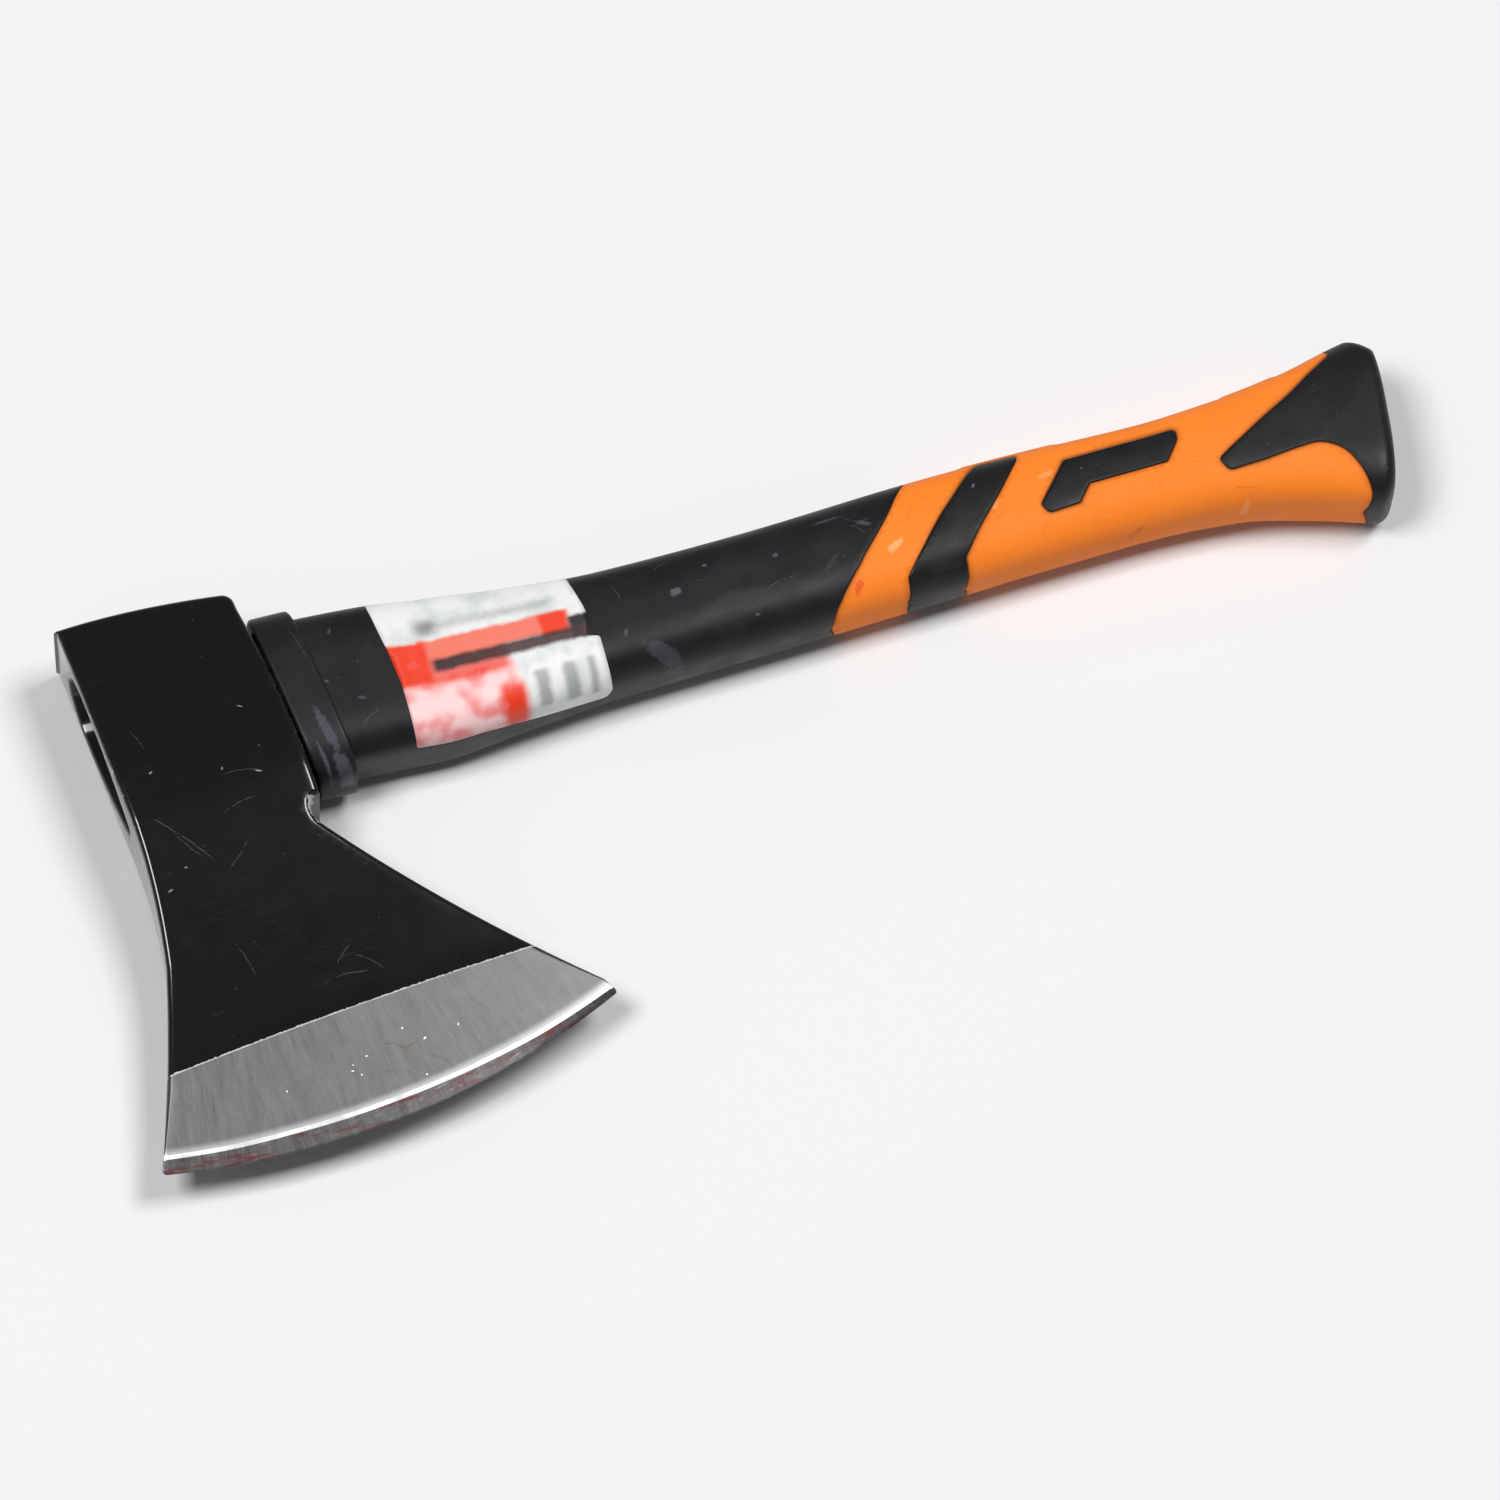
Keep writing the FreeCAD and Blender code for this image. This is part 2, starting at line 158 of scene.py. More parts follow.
def inside(points, polygon):
    """Whether each point lies inside the polygon."""
    x, y = points[:, 0][:, None], points[:, 1][:, None]
    x1, y1 = polygon[:, 0][None], polygon[:, 1][None]
    x2, y2 = np.roll(polygon[:, 0], -1)[None], np.roll(polygon[:, 1], -1)[None]
    crosses = ((y1 > y) != (y2 > y))
    run = np.where(y2 == y1, 1e-12, y2 - y1)
    return (crosses & (x < (x2 - x1) * (y - y1) / run + x1)).sum(axis=1) % 2 == 1


def distance_to(points, polygon, closed=True):
    """Distance from each point to a polygon's edges."""
    a = polygon
    b = np.roll(polygon, -1, axis=0)
    if not closed:
        a, b = polygon[:-1], polygon[1:]
    best = np.full(len(points), 1e9)
    for start, end in zip(a, b):
        edge = end - start
        t = np.clip((points - start) @ edge / max(edge @ edge, 1e-12), 0, 1)
        gap = points - (start + t[:, None] * edge)
        best = np.minimum(best, np.hypot(gap[:, 0], gap[:, 1]))
    return best


def beside(line, gap, closed):
    """A line's points moved to its left by the gap."""
    if closed:
        ahead = np.roll(line, -1, axis=0) - np.roll(line, 1, axis=0)
    else:
        ahead = np.gradient(line, axis=0)
    aside = np.stack([-ahead[:, 1], ahead[:, 0]], axis=1)
    return line + aside / np.hypot(*aside.T)[:, None] * gap


def grid(across, up):
    """Points of a flat grid, each direction as start, end and step."""
    return np.stack(np.meshgrid(np.arange(*across), np.arange(*up)), -1).reshape(-1, 2)


def middles(flat, faces):
    return np.array([flat[list(f)].mean(axis=0) for f in faces])


def triangulate(points, edges, border):
    """Triangles over flat points, inside the border, that keep the given edges."""
    verts, _, faces, _, _, _ = delaunay_2d_cdt([Vector(p) for p in points], edges, [], 0, 1e-5)
    flat = np.array([tuple(v) for v in verts])
    kept = inside(middles(flat, faces), border)
    return flat, [tuple(f) for f, keep in zip(faces, kept) if keep]


def filled(border, points, gap):
    """Triangles inside a closed line, over its own points and those that keep off it."""
    points = points[inside(points, border) & (distance_to(points, border) > gap)]
    return triangulate(np.vstack([border, points]), loop_edges(0, len(border)), border)


def loop_edges(start, count, closed=True):
    edges = [(start + i, start + i + 1) for i in range(count - 1)]
    if closed:
        edges.append((start + count - 1, start))
    return edges


def open_edges(faces):
    """Edges that have a face on one side only."""
    found = {}
    for face in faces:
        for a, b in zip(face, face[1:] + face[:1]):
            if (b, a) in found:
                del found[(b, a)]
            else:
                found[(a, b)] = True
    return list(found)


# ---- meshes ----

def new_object(name, points, faces):
    mesh = bpy.data.meshes.new(name)
    mesh.from_pydata([tuple(p) for p in to_metres(points)], [], [tuple(f) for f in faces])
    mesh.validate()
    mesh.update()
    piece = bpy.data.objects.new(name, mesh)
    bpy.context.scene.collection.objects.link(piece)
    mesh.shade_smooth()
    return piece


def tidy_mesh(piece, sharp_degrees=None):
    """Merges doubles, turns the faces outwards, and marks edges sharper than the angle."""
    bm = bmesh.new()
    bm.from_mesh(piece.data)
    bmesh.ops.remove_doubles(bm, verts=bm.verts, dist=0.00001)
    bmesh.ops.dissolve_degenerate(bm, edges=bm.edges, dist=1e-7)
    bmesh.ops.recalc_face_normals(bm, faces=bm.faces)
    if sharp_degrees is not None:
        for edge in bm.edges:
            if len(edge.link_faces) == 2 and edge.calc_face_angle(0) > math.radians(sharp_degrees):
                edge.smooth = False
    bm.to_mesh(piece.data)
    bm.free()


def ride(piece, *slots):
    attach(piece, "root")


# ---------------------------------------------------------------------------
# Head
# ---------------------------------------------------------------------------
EDGE_CENTRE = np.array([25.2, 57.3])
EDGE_RADIUS = 211.9
# width of the fine bevel: x, width
FINE_BEVEL = ((-12, 3.7), (8, 4.2), (30, 4.8), (50, 4.7), (78, 3.8), (96, 2.8), (120, 1.6))
# width of the strip along the fine bevel's shoulder that gets a painted highlight
BRIGHT_WIDTH = 1.2
HALF_EDGE = 0.10              # half thickness at the edge
HALF_FINE = 1.05              # half thickness where the fine bevel starts
BEVEL_SLOPE = 0.1405          # gain in half thickness for each millimetre of the main bevel
BEVEL_LINE = ((-12.0, -128.6), (101.5, -116.3), 0.9)      # start, end, bow towards the poll
CHEEK_PROFILE = (             # distance above the bevel line, half thickness
    (-40, 4.9), (0, 4.9), (12, 5.7), (26, 7.2), (38, 9.0), (50, 11.2), (60, 13.2), (69, 14.5),
    (80, HALF_EYE), (96, HALF_EYE), (108, 14.8), (116, 14.4), (124, 13.9), (140, 13.9),
)
HEAD_ROUND, THIN_ROUND = 1.5, 0.42          # radius at the outline; where thin, a share of the half
BEVEL_FADE = 60.0                           # how far up the cheek the bevel line's dips reach
WAVE_HEIGHT, WAVE_SCALE = 0.16, 0.045       # the forged cheek's slight waves
CREASE_DEGREES = 32


def head_outline():
    return outline([
        (0.9, -1.0, 0), (0.2, -0.3, 0), (1.0, 0.0, 220.0), (45.4, -1.2, 3.4), (48.4, -3.9, 0),
        (48.7, -6.5, 380.0), (56.2, -62.6, 0),
        (53.6, -63.4, -6.0), (54.2, -70.0, 0), (55.6, -71.6, -600.0), (115.4, -129.0, 0),
        (117.7, -132.5, 0.8), (117.2, -133.55, EDGE_RADIUS), (-8.3, -151.9, 1.2),
        (-9.6, -150.6, -460.0), (5.2, -98.0, -190.0), (6.4, -58.0, 0),
    ], step=0.9)


def bevel_line(x):
    """Y of the line where the paint ends and the ground bevel starts."""
    (x0, y0), (x1, y1), bow = BEVEL_LINE
    t = (x - x0) / (x1 - x0)
    return y0 + (y1 - y0) * t + bow * 4 * t * (1 - t)


def from_edge(x, y):
    """How far a point lies behind the cutting edge, along the edge's radius."""
    return EDGE_RADIUS - np.hypot(x - EDGE_CENTRE[0], y - EDGE_CENTRE[1])


def fine_width(x):
    """Width of the fine bevel, which narrows towards the heel."""
    return spline(*zip(*FINE_BEVEL), x)


def bevel_half(x, y):
    behind = from_edge(x, y)
    width = fine_width(x)
    fine = HALF_EDGE + (HALF_FINE - HALF_EDGE) * behind / width
    main = HALF_FINE + BEVEL_SLOPE * (behind - width)
    return np.maximum(np.where(behind < width, fine, main), HALF_EDGE)


def cheek_half(points):
    """Half thickness of the head before its edges are rounded off."""
    x, y = points[:, 0], points[:, 1]
    above = y - bevel_line(x)
    stations, halves = zip(*CHEEK_PROFILE)
    cheek = spline(stations, halves, above)
    at_line = bevel_half(x, bevel_line(x)) - spline(stations, halves, np.zeros(1))[0]
    cheek = cheek + at_line * (1 - smooth_step(above / BEVEL_FADE))
    wave = np.array([noise.noise(Vector((*(point * WAVE_SCALE), 3.0))) for point in points])
    cheek = cheek + WAVE_HEIGHT * wave * smooth_step(above / 12.0)
    half = np.where(above < 0, bevel_half(x, y), cheek)
    return np.minimum(half, HALF_EYE)


def rim_radius(half):
    """Radius of the rounding at the outline, smaller where the head is thin."""
    return np.minimum(HEAD_ROUND, THIN_ROUND * half)


def head_half(points, polygon):
    """Half thickness of the head with its edges rounded off."""
    half = cheek_half(points)
    radius = rim_radius(half)
    inner = np.clip(1 - distance_to(points, polygon) / radius, 0, 1)
    return half - radius * (1 - np.sqrt(np.maximum(1 - inner**2, 0)))


def head_sheet(polygon):
    """Flat triangulation of the cheek that keeps the outline, the bevel and the fine bevel."""
    count = len(polygon)
    radius = rim_radius(cheek_half(polygon))
    points = [polygon]
    edges = loop_edges(0, count)
    for turn in (15, 30, 45, 60, 75, 90):
        gap = radius * (1 - math.cos(math.radians(turn)))
        points.append(beside(polygon, -gap[:, None], closed=True))
    line_x = np.arange(-12, 110, 0.9)
    lines = [np.stack([line_x, bevel_line(line_x)], axis=1)]
    angle = np.arange(-math.radians(122), -math.radians(58), 1.0 / EDGE_RADIUS)
    around = np.stack([np.cos(angle), np.sin(angle)], axis=1)
    width = fine_width(EDGE_CENTRE[0] + EDGE_RADIUS * around[:, 0])
    for behind in (width, width + BRIGHT_WIDTH, width * 0.5, width * 0.17):
        lines.append(EDGE_CENTRE + (EDGE_RADIUS - behind)[:, None] * around)
    for line in lines:
        kept = inside(line, polygon) & (distance_to(line, polygon) > 0.45)
        numbers = np.cumsum(kept) - 1 + sum(len(part) for part in points)
        edges += [(numbers[i], numbers[i + 1]) for i in range(len(line) - 1)
                  if kept[i] and kept[i + 1]]
        points.append(line[kept])
    open_field = grid((-9, 120, 2.3), (-156, 2, 2.3))
    x, y = open_field.T
    kept = inside(open_field, polygon) & (distance_to(open_field, polygon) > HEAD_ROUND + 0.8)
    kept &= np.abs(y - bevel_line(x)) > 0.9
    kept &= from_edge(x, y) > fine_width(x) + 2
    points.append(open_field[kept])
    return triangulate(np.vstack(points), [(int(a), int(b)) for a, b in edges], polygon)


PAINT, GROUND, BRIGHT, FINE = range(4)


def head_zone(x, y):
    """Which finish a face of the head has; the bright strip gets a painted highlight and the fine
    bevel painted shade.
    """
    behind = from_edge(x, y) - fine_width(x)
    zone = np.where(y > bevel_line(x), PAINT, GROUND)
    zone = np.where((behind < BRIGHT_WIDTH) & (zone == GROUND), BRIGHT, zone)
    return np.where((behind < 0) & (zone == BRIGHT), FINE, zone)


def make_head():
    """The forged head: two cheeks, a rim between them, and the eye."""
    polygon = head_outline()
    flat, faces = head_sheet(polygon)
    half = head_half(flat, polygon)
    count = len(flat)
    upper = np.column_stack([flat, half])
    lower = np.column_stack([flat, -half])
    all_faces = two_sided(faces, count, [])
    rim = open_edges(faces)
    points = [upper, lower]
    rows = 5
    total = 2 * count
    rim_numbers = sorted({i for edge in rim for i in edge})
    column = {}
    for i in rim_numbers:
        chain = [i]
        for k in range(1, rows):
            points.append([[flat[i][0], flat[i][1], half[i] * (1 - 2 * k / rows)]])
            chain.append(total)
            total += 1
        chain.append(i + count)
        column[i] = chain
    for a, b in rim:
        for k in range(rows):
            all_faces.append((column[a][k], column[a][k + 1], column[b][k + 1], column[b][k]))
    piece = new_object("axe_head_body", np.vstack(points), all_faces)
    tidy_mesh(piece)
    cut_eye(piece)
    mark_head(piece)
    return piece


def mark_head(piece):
    """Finishes, crisp bevel lines, and a map along and across the cutting edge."""
    mesh = piece.data
    co = np.array([v.co for v in mesh.vertices]) / MM - ORIGIN
    for polygon in mesh.polygons:
        middle = co[list(polygon.vertices)].mean(axis=0)
        polygon.material_index = int(head_zone(middle[0], middle[1]))
    bm = bmesh.new()
    bm.from_mesh(mesh)
    for edge in bm.edges:
        if len(edge.link_faces) != 2:
            continue
        one, other = edge.link_faces
        changes = one.material_index != other.material_index
        if changes or edge.calc_face_angle(0) > math.radians(CREASE_DEGREES):
            edge.smooth = False
    xy = co[:, :2]
    outline_gap = distance_to(xy, head_outline())
    below = np.maximum(head_half(xy, head_outline()) - np.abs(co[:, 2]), 0)
    mouth = distance_to(co[:, 1:], eye_ring()) + np.abs(co[:, 0] - outer_face(co[:, 1]))
    marks = {
        "above": co[:, 1] - bevel_line(co[:, 0]),
        "behind": from_edge(co[:, 0], co[:, 1]) - fine_width(co[:, 0]),
        "edge": np.minimum(outline_gap + below, mouth),
    }
    for name, values in marks.items():
        layer = bm.verts.layers.float.new(name)
        for vertex, value in zip(bm.verts, values):
            vertex[layer] = float(value)
    grind = bm.loops.layers.uv.new("grind")
    for face in bm.faces:
        for loop in face.loops:
            x, y, _ = np.array(loop.vert.co) / MM - ORIGIN
            angle = math.atan2(y - EDGE_CENTRE[1], x - EDGE_CENTRE[0]) + math.pi / 2
            loop[grind].uv = (angle * EDGE_RADIUS, float(from_edge(x, y)))
    bm.to_mesh(mesh)
    bm.free()


# the eye, in Y and Z
EYE_TOP, EYE_WIDE, EYE_LOW = -9.4, -22.0, -54.0
EYE_HALF, EYE_HALF_LOW = 10.8, 3.0
# how far in from the outer face, and how much wider than the eye there
EYE_LEVELS = ((-3.0, 0.9), (0.0, 0.9), (0.12, 0.5), (0.4, 0.15), (0.9, 0.0), (70.0, 0.0))


def eye_ring(grow=0.0):
    """Teardrop with a wide round end towards the poll."""
    corners = [(EYE_WIDE, EYE_HALF, 12.0), (EYE_TOP, 0.0, 12.0), (EYE_WIDE, -EYE_HALF, 75.0),
               (EYE_LOW, -EYE_HALF_LOW, 3.3), (EYE_LOW, EYE_HALF_LOW, 75.0)]
    return beside(resample(outline(corners, step=0.4), 0.9, closed=True), grow, closed=True)


def outer_face(y):
    """X of the head's outer face."""
    polygon = head_outline()
    side = polygon[(polygon[:, 0] < 9) & (polygon[:, 1] < 0.1)]
    order = np.argsort(side[:, 1])
    return np.interp(y, side[order, 1], side[order, 0])


def cut_eye(piece):
    """Opens the eye right through the head, with a small flare at its mouth."""
    rings = []
    for depth, grow in EYE_LEVELS:
        ring = eye_ring(grow=grow)
        x = outer_face(ring[:, 0]) + depth
        rings.append(np.column_stack([x, ring]))
    cutter = bridge("eye_cutter", rings)
    modifier = piece.modifiers.new("eye", "BOOLEAN")
    modifier.operation = "DIFFERENCE"
    modifier.solver = "EXACT"
    modifier.object = cutter
    apply_modifiers(piece)
    bpy.data.objects.remove(cutter)


def bridge(name, rings):
    """A closed skin over rings that have the same number of points."""
    count = len(rings[0])
    faces = []
    for k in range(len(rings) - 1):
        for i in range(count):
            j = (i + 1) % count
            faces.append((k * count + i, k * count + j, (k + 1) * count + j, (k + 1) * count + i))
    faces.append(tuple(range(count)))
    faces.append(tuple((len(rings) - 1) * count + i for i in reversed(range(count))))
    piece = new_object(name, np.vstack(rings), faces)
    tidy_mesh(piece)
    return piece


def apply_modifiers(piece):
    depsgraph = bpy.context.evaluated_depsgraph_get()
    mesh = bpy.data.meshes.new_from_object(piece.evaluated_get(depsgraph))
    piece.modifiers.clear()
    old = piece.data
    piece.data = mesh
    bpy.data.meshes.remove(old)


# ---------------------------------------------------------------------------
# Handle: one skin, described by where along X it is and how far round its axis,
# in degrees from the poll side over the top to the belly side. The underside
# mirrors the top.
# ---------------------------------------------------------------------------
HANDLE_SECTIONS = (     # x, middle y, half depth, half thickness, squareness
    (58, -32.1, 21.9, 14.0, 4.2), (80, -32.8, 21.5, 13.8, 4.2), (97, -34.1, 20.7, 13.4, 4.0),
    (118, -34.1, 18.4, 13.0, 3.6), (145, -33.6, 16.4, 12.8, 3.2), (185, -32.2, 16.0, 12.8, 3.0),
    (230, -29.7, 16.2, 12.8, 2.9), (265, -28.3, 15.7, 12.8, 2.8), (295, -27.8, 15.0, 12.8, 2.8),
    (318, -27.6, 16.1, 13.3, 3.0), (338, -28.5, 19.6, 14.1, 3.3), (352, -29.0, 23.4, 14.5, 3.6),
    (368, -30.6, 28.2, 14.7, 3.8),
)
COLLAR_SECTION = (-32.4, 25.5, 14.7, 3.4)
COLLAR_LINE = ((-6.9, 50.5), (-60.6, 57.5))      # the collar's edge nearest the head: y, x
COLLAR_WIDTH = 11.3
COLLAR_LEVELS = (       # distance behind that edge, share of the way from the tube to the collar
    (COLLAR_WIDTH - 0.05, 0.35), (COLLAR_WIDTH - 0.2, 0.72), (COLLAR_WIDTH - 0.55, 0.95),
    (COLLAR_WIDTH - 1.1, 1.0), (7.6, 1.0), (4.0, 1.0), (1.4, 1.0), (0.8, 0.96), (0.35, 0.82),
    (0.08, 0.6), (0.0, 0.3),
)
COLLAR_RECESS = 1.6
END_LINE = ((364.6, 4.0), (354.4, -64.0), 190.0)
END_CORNER = (364.9, -11.5, 0.58)                # the cut-back corner on the poll side: x, y, slope
END_ROUND = 3.6
END_DOME = 0.25
UNROLL = 18.0                                    # millimetres of flat pattern for each radian

# lines between the black plastic and the orange rubber: x, degrees, radius of the corner
ORANGE_START = ((234.5, 0), (230.5, 30), (224.0, 62), (218.0, 89), (212.0, 116), (206.5, 137),
                (203.0, 154), (201.5, 180))
BUTT_LINE = ((350.0, 0, 9), (351.0, 17, 4), (352.5, 29, 1.3), (344.0, 41, 30), (329.5, 68, 60),
             (314.0, 108, 2.3), (316.0, 123, 2.0), (325.5, 120, 40), (334.5, 114, 20),
             (341.5, 111, 8), (347.5, 122, 12), (351.0, 142, 14), (352.0, 157, 8),
             (351.0, 171, 6), (350.0, 180, 6))
BAND = ((251.0, 31, 2.5), (262.5, 32, 1.4), (261.5, 44, 6), (250.5, 95, 40), (240.5, 139, 3),
        (240.5, 161, 5), (239.5, 183, 3), (223.0, 183, 3), (224.0, 161, 5), (224.0, 141, 3),
        (230.5, 115, 30), (237.5, 82, 30), (243.5, 59, 20))
BAR = ((273.5, 59, 1.0), (305.5, 56, 2.0), (305.0, 70, 4.0), (300.5, 95, 0.5), (278.5, 97, 0.8),
       (274.5, 117, 0.8), (265.5, 119, 1.8), (264.0, 107, 2.2))
LABEL = ((82.0, 22, 0.6), (82.0, 34, 3), (84.0, 75, 20), (85.0, 114, 20), (85.0, 165, 0.6),
         (104.0, 167, 20), (118.0, 175, 15), (138.5, 183, 2.5), (140.0, 170, 4), (139.5, 135, 5),
         (139.5, 111, 0.8), (136.5, 107, 0.8), (138.0, 85, 4), (137.5, 69, 5), (136.0, 43, 8),
         (135.5, 22, 0.6))

PADS = ((247.2, 274.5), (320.6, 337.0))          # start and end along x
PAD_HEIGHT, PAD_STEP = 0.3, 0.8
RUBBER_DEPTH = 2.0
GROOVE_DEPTH, GROOVE_HALF = 0.32, 0.42
DIRT_REACH = 0.75


def section(x):
    """The handle's middle, half depth, half thickness and squareness at x."""
    columns = np.array(HANDLE_SECTIONS).T
    return [spline(columns[0], column, x) for column in columns[1:]]


def reach(depth, thick, power, turn):
    """Distance from the axis to a rounded-rectangle outline."""
    return ((np.abs(np.cos(turn)) / depth)**power
            + (np.abs(np.sin(turn)) / thick)**power)**(-1 / power)


def around_axis(x, middle, out, turn):
    return np.column_stack([x, middle + out * np.cos(turn), out * np.sin(turn)])


def skin(x, turn, lift=0.0):
    """Points on the handle's surface, raised by the lift."""
    middle, depth, thick, power = section(x)
    out = reach(depth, thick, power, turn) + lift + ridge_pads(x, turn)
    return around_axis(x, middle, out, turn)


def ridge_pads(x, turn):
    """Low raised pads along the poll side of the grip."""
    near = smooth_step((math.radians(34) - np.abs(turn)) / math.radians(10))
    raised = sum(smooth_step((x - start) / PAD_STEP) * smooth_step((end - x) / PAD_STEP)
                 for start, end in PADS)
    return PAD_HEIGHT * near * raised


def collar_skin(x, turn):
    """Points on the collar's surface."""
    middle, depth, thick, power = COLLAR_SECTION
    return around_axis(x, middle, reach(depth, thick, power, turn), turn)


def collar_x(y, station):
    """X at some distance behind the collar's slanted face."""
    (y0, x0), (y1, x1) = COLLAR_LINE
    return x0 + (x1 - x0) * (y - y0) / (y1 - y0) + station


def end_x(y):
    """X of the butt's end face."""
    start, end, radius = END_LINE
    points = np.array(arc(start, end, radius, 1.0) + [np.array(end)])
    order = np.argsort(points[:, 1])
    face = np.interp(y, points[order, 1], points[order, 0])
    return np.minimum(face, END_CORNER[0] - END_CORNER[2] * (y - END_CORNER[1]))


def front_x(turn):
    """X where the handle comes out of the collar, from a rough start in a few passes."""
    x = np.full(len(turn), 66.0)
    for _ in range(6):
        x = collar_x(skin(x, turn)[:, 1], COLLAR_WIDTH)
    return x


def back_x(turn):
    """X where the rounding of the butt starts, from a rough start in a few passes."""
    x = np.full(len(turn), 356.0)
    for _ in range(12):
        x = 0.5 * x + 0.5 * (end_x(skin(x, turn)[:, 1]) - END_ROUND)
    return x


def flat_line(rows, step=0.7, closed=True):
    """A boundary on the unrolled skin, its corners rounded by each row's radius."""
    corners = [(row[0], math.radians(row[1]) * UNROLL, *row[2:]) for row in rows]
    return rounded(corners, 12.0, step, closed)


class Skin:
    """The unrolled upper skin, cut along the colour lines."""

    def __init__(self):
        self.top = math.pi * UNROLL
        self.turns = np.linspace(0, math.pi, 76)
        front, back = front_x(self.turns), back_x(self.turns)
        side_front = np.column_stack([front, self.turns * UNROLL])
        side_back = np.column_stack([back, self.turns * UNROLL])
        seam = np.arange(front[0] + 1.6, back[0] - 0.8, 1.9)
        keel = np.arange(front[-1] + 1.6, back[-1] - 0.8, 1.9)
        start_line = flat_line(ORANGE_START, closed=False)
        butt_line = flat_line(BUTT_LINE, closed=False)
        band, bar = flat_line(BAND), flat_line(BAR)
        edge = np.vstack([
            side_front, np.column_stack([keel, np.full(len(keel), self.top)]), side_back[::-1],
            np.column_stack([seam[::-1], np.zeros(len(seam))])])
        self.lines = [(start_line, False), (butt_line, False), (band, True), (bar, True)]
        points, edges, count = [edge], loop_edges(0, len(edge)), len(edge)
        for line, closed in self.lines:
            kept = (line[:, 1] >= -1e-6) & (line[:, 1] <= self.top + 1e-6)
            ids = np.cumsum(kept) - 1 + count
            edges += [(int(ids[i]), int(ids[j])) for i, j in loop_edges(0, len(line), closed)
                      if kept[i] and kept[j]]
            points.append(line[kept])
            count += int(kept.sum())
        points.append(self.clear(grid((60, 368, 1.9), (0.95, self.top, 1.25)), edge, 0.9, 0.95))
        for gap in (0.14, 0.32, 0.56):
            for line, closed in self.lines:
                for side in (gap, -gap):
                    near = beside(line, side, closed)
                    points.append(self.clear(near, edge, 0.3, gap - 0.04))
        self.flat, faces = triangulate(np.vstack(points), edges, edge)
        middle = middles(self.flat, faces)
        is_orange = inside(middle, np.vstack([start_line, butt_line[::-1]]))
        for island in (band, bar):
            is_orange &= ~inside(middle, island)
        self.orange = [f for f, chosen in zip(faces, is_orange) if chosen]
        self.black = [f for f, chosen in zip(faces, is_orange) if not chosen]

    def clear(self, points, edge, from_edge, from_lines):
        """The points that keep off the sheet's edge and the colour lines."""
        kept = inside(points, edge) & (distance_to(points, edge) > from_edge)
        points = points[kept]
        return points[self.line_gap(points) > from_lines]

    def line_gap(self, points):
        """Distance from each point to the nearest colour line."""
        away = np.full(len(points), 1e9)
        for line, closed in self.lines:
            away = np.minimum(away, distance_to(points, line, closed))
        return away

    def points(self, lift=0.0):
        return skin(self.flat[:, 0], self.flat[:, 1] / UNROLL, lift)

    def grooved(self):
        """The skin's points, sunk into a groove along the colour lines."""
        groove = np.clip(1 - self.line_gap(self.flat) / GROOVE_HALF, 0, 1)
        points = self.points()
        middle = section(self.flat[:, 0])[0]
        axis = np.column_stack([points[:, 0], middle, np.zeros(len(points))])
        inward = axis - points
        inward /= np.linalg.norm(inward, axis=1)[:, None]
        return points + inward * (GROOVE_DEPTH * groove**1.5)[:, None]


def mirrored(points, faces):
    """Adds the underside: the same faces below the middle plane."""
    count = len(points)
    below = points * np.array([1, 1, -1])
    lower_faces = [tuple(i + count for i in reversed(f)) for f in faces]
    return np.vstack([points, below]), list(faces) + lower_faces


def two_sided(faces, count, edges):
    """A sheet, the same sheet facing back with later numbers, and the faces between."""
    both = faces + [tuple(i + count for i in reversed(f)) for f in faces]
    return both + [(a, b, b + count, a + count) for a, b in edges]


def off_plane_edges(faces, sheet):
    """A sheet's open edges without those on the mirror plane."""
    across = sheet.flat[:, 1]
    plane = (across < 1e-3) | (across > sheet.top - 1e-3)
    return [(a, b) for a, b in open_edges(faces) if not (plane[a] and plane[b])]


def add_end(points, faces, rows, tip, flip):
    """Adds rows of points with the faces between them, and a fan from the last to the tip."""
    first, count = sum(len(part) for part in points), len(rows[0])
    added = []
    for start in range(first, first + (len(rows) - 1) * count, count):
        added += [(i, i + 1, i + 1 + count, i + count) for i in range(start, start + count - 1)]
    end = first + len(rows) * count
    added += [(i, i + 1, end) for i in range(end - count, end - 1)]
    points += [*rows, np.array([tip])]
    faces += [tuple(reversed(f)) for f in added] if flip else added


def collar_end(turns):
    """Rows of points from the handle over the collar to the face next to the head."""
    on_tube = skin(front_x(turns), turns)
    on_collar = collar_skin(front_x(turns), turns)
    rows = [on_tube]
    for station, share in COLLAR_LEVELS:
        row = on_tube + (on_collar - on_tube) * share
        row[:, 0] = collar_x(row[:, 1], station)
        rows.append(row)
    lip, middle = rows[-1], np.array([0, COLLAR_SECTION[0], 0])
    for station, scale in ((0.0, 0.93), (1.2, 0.90), (COLLAR_RECESS, 0.7), (COLLAR_RECESS, 0.35)):
        row = (lip - middle) * np.array([1, scale, scale]) + middle
        row[:, 0] = collar_x(row[:, 1], station)
        rows.append(row)
    return rows, (collar_x(COLLAR_SECTION[0], COLLAR_RECESS), COLLAR_SECTION[0], 0.0)


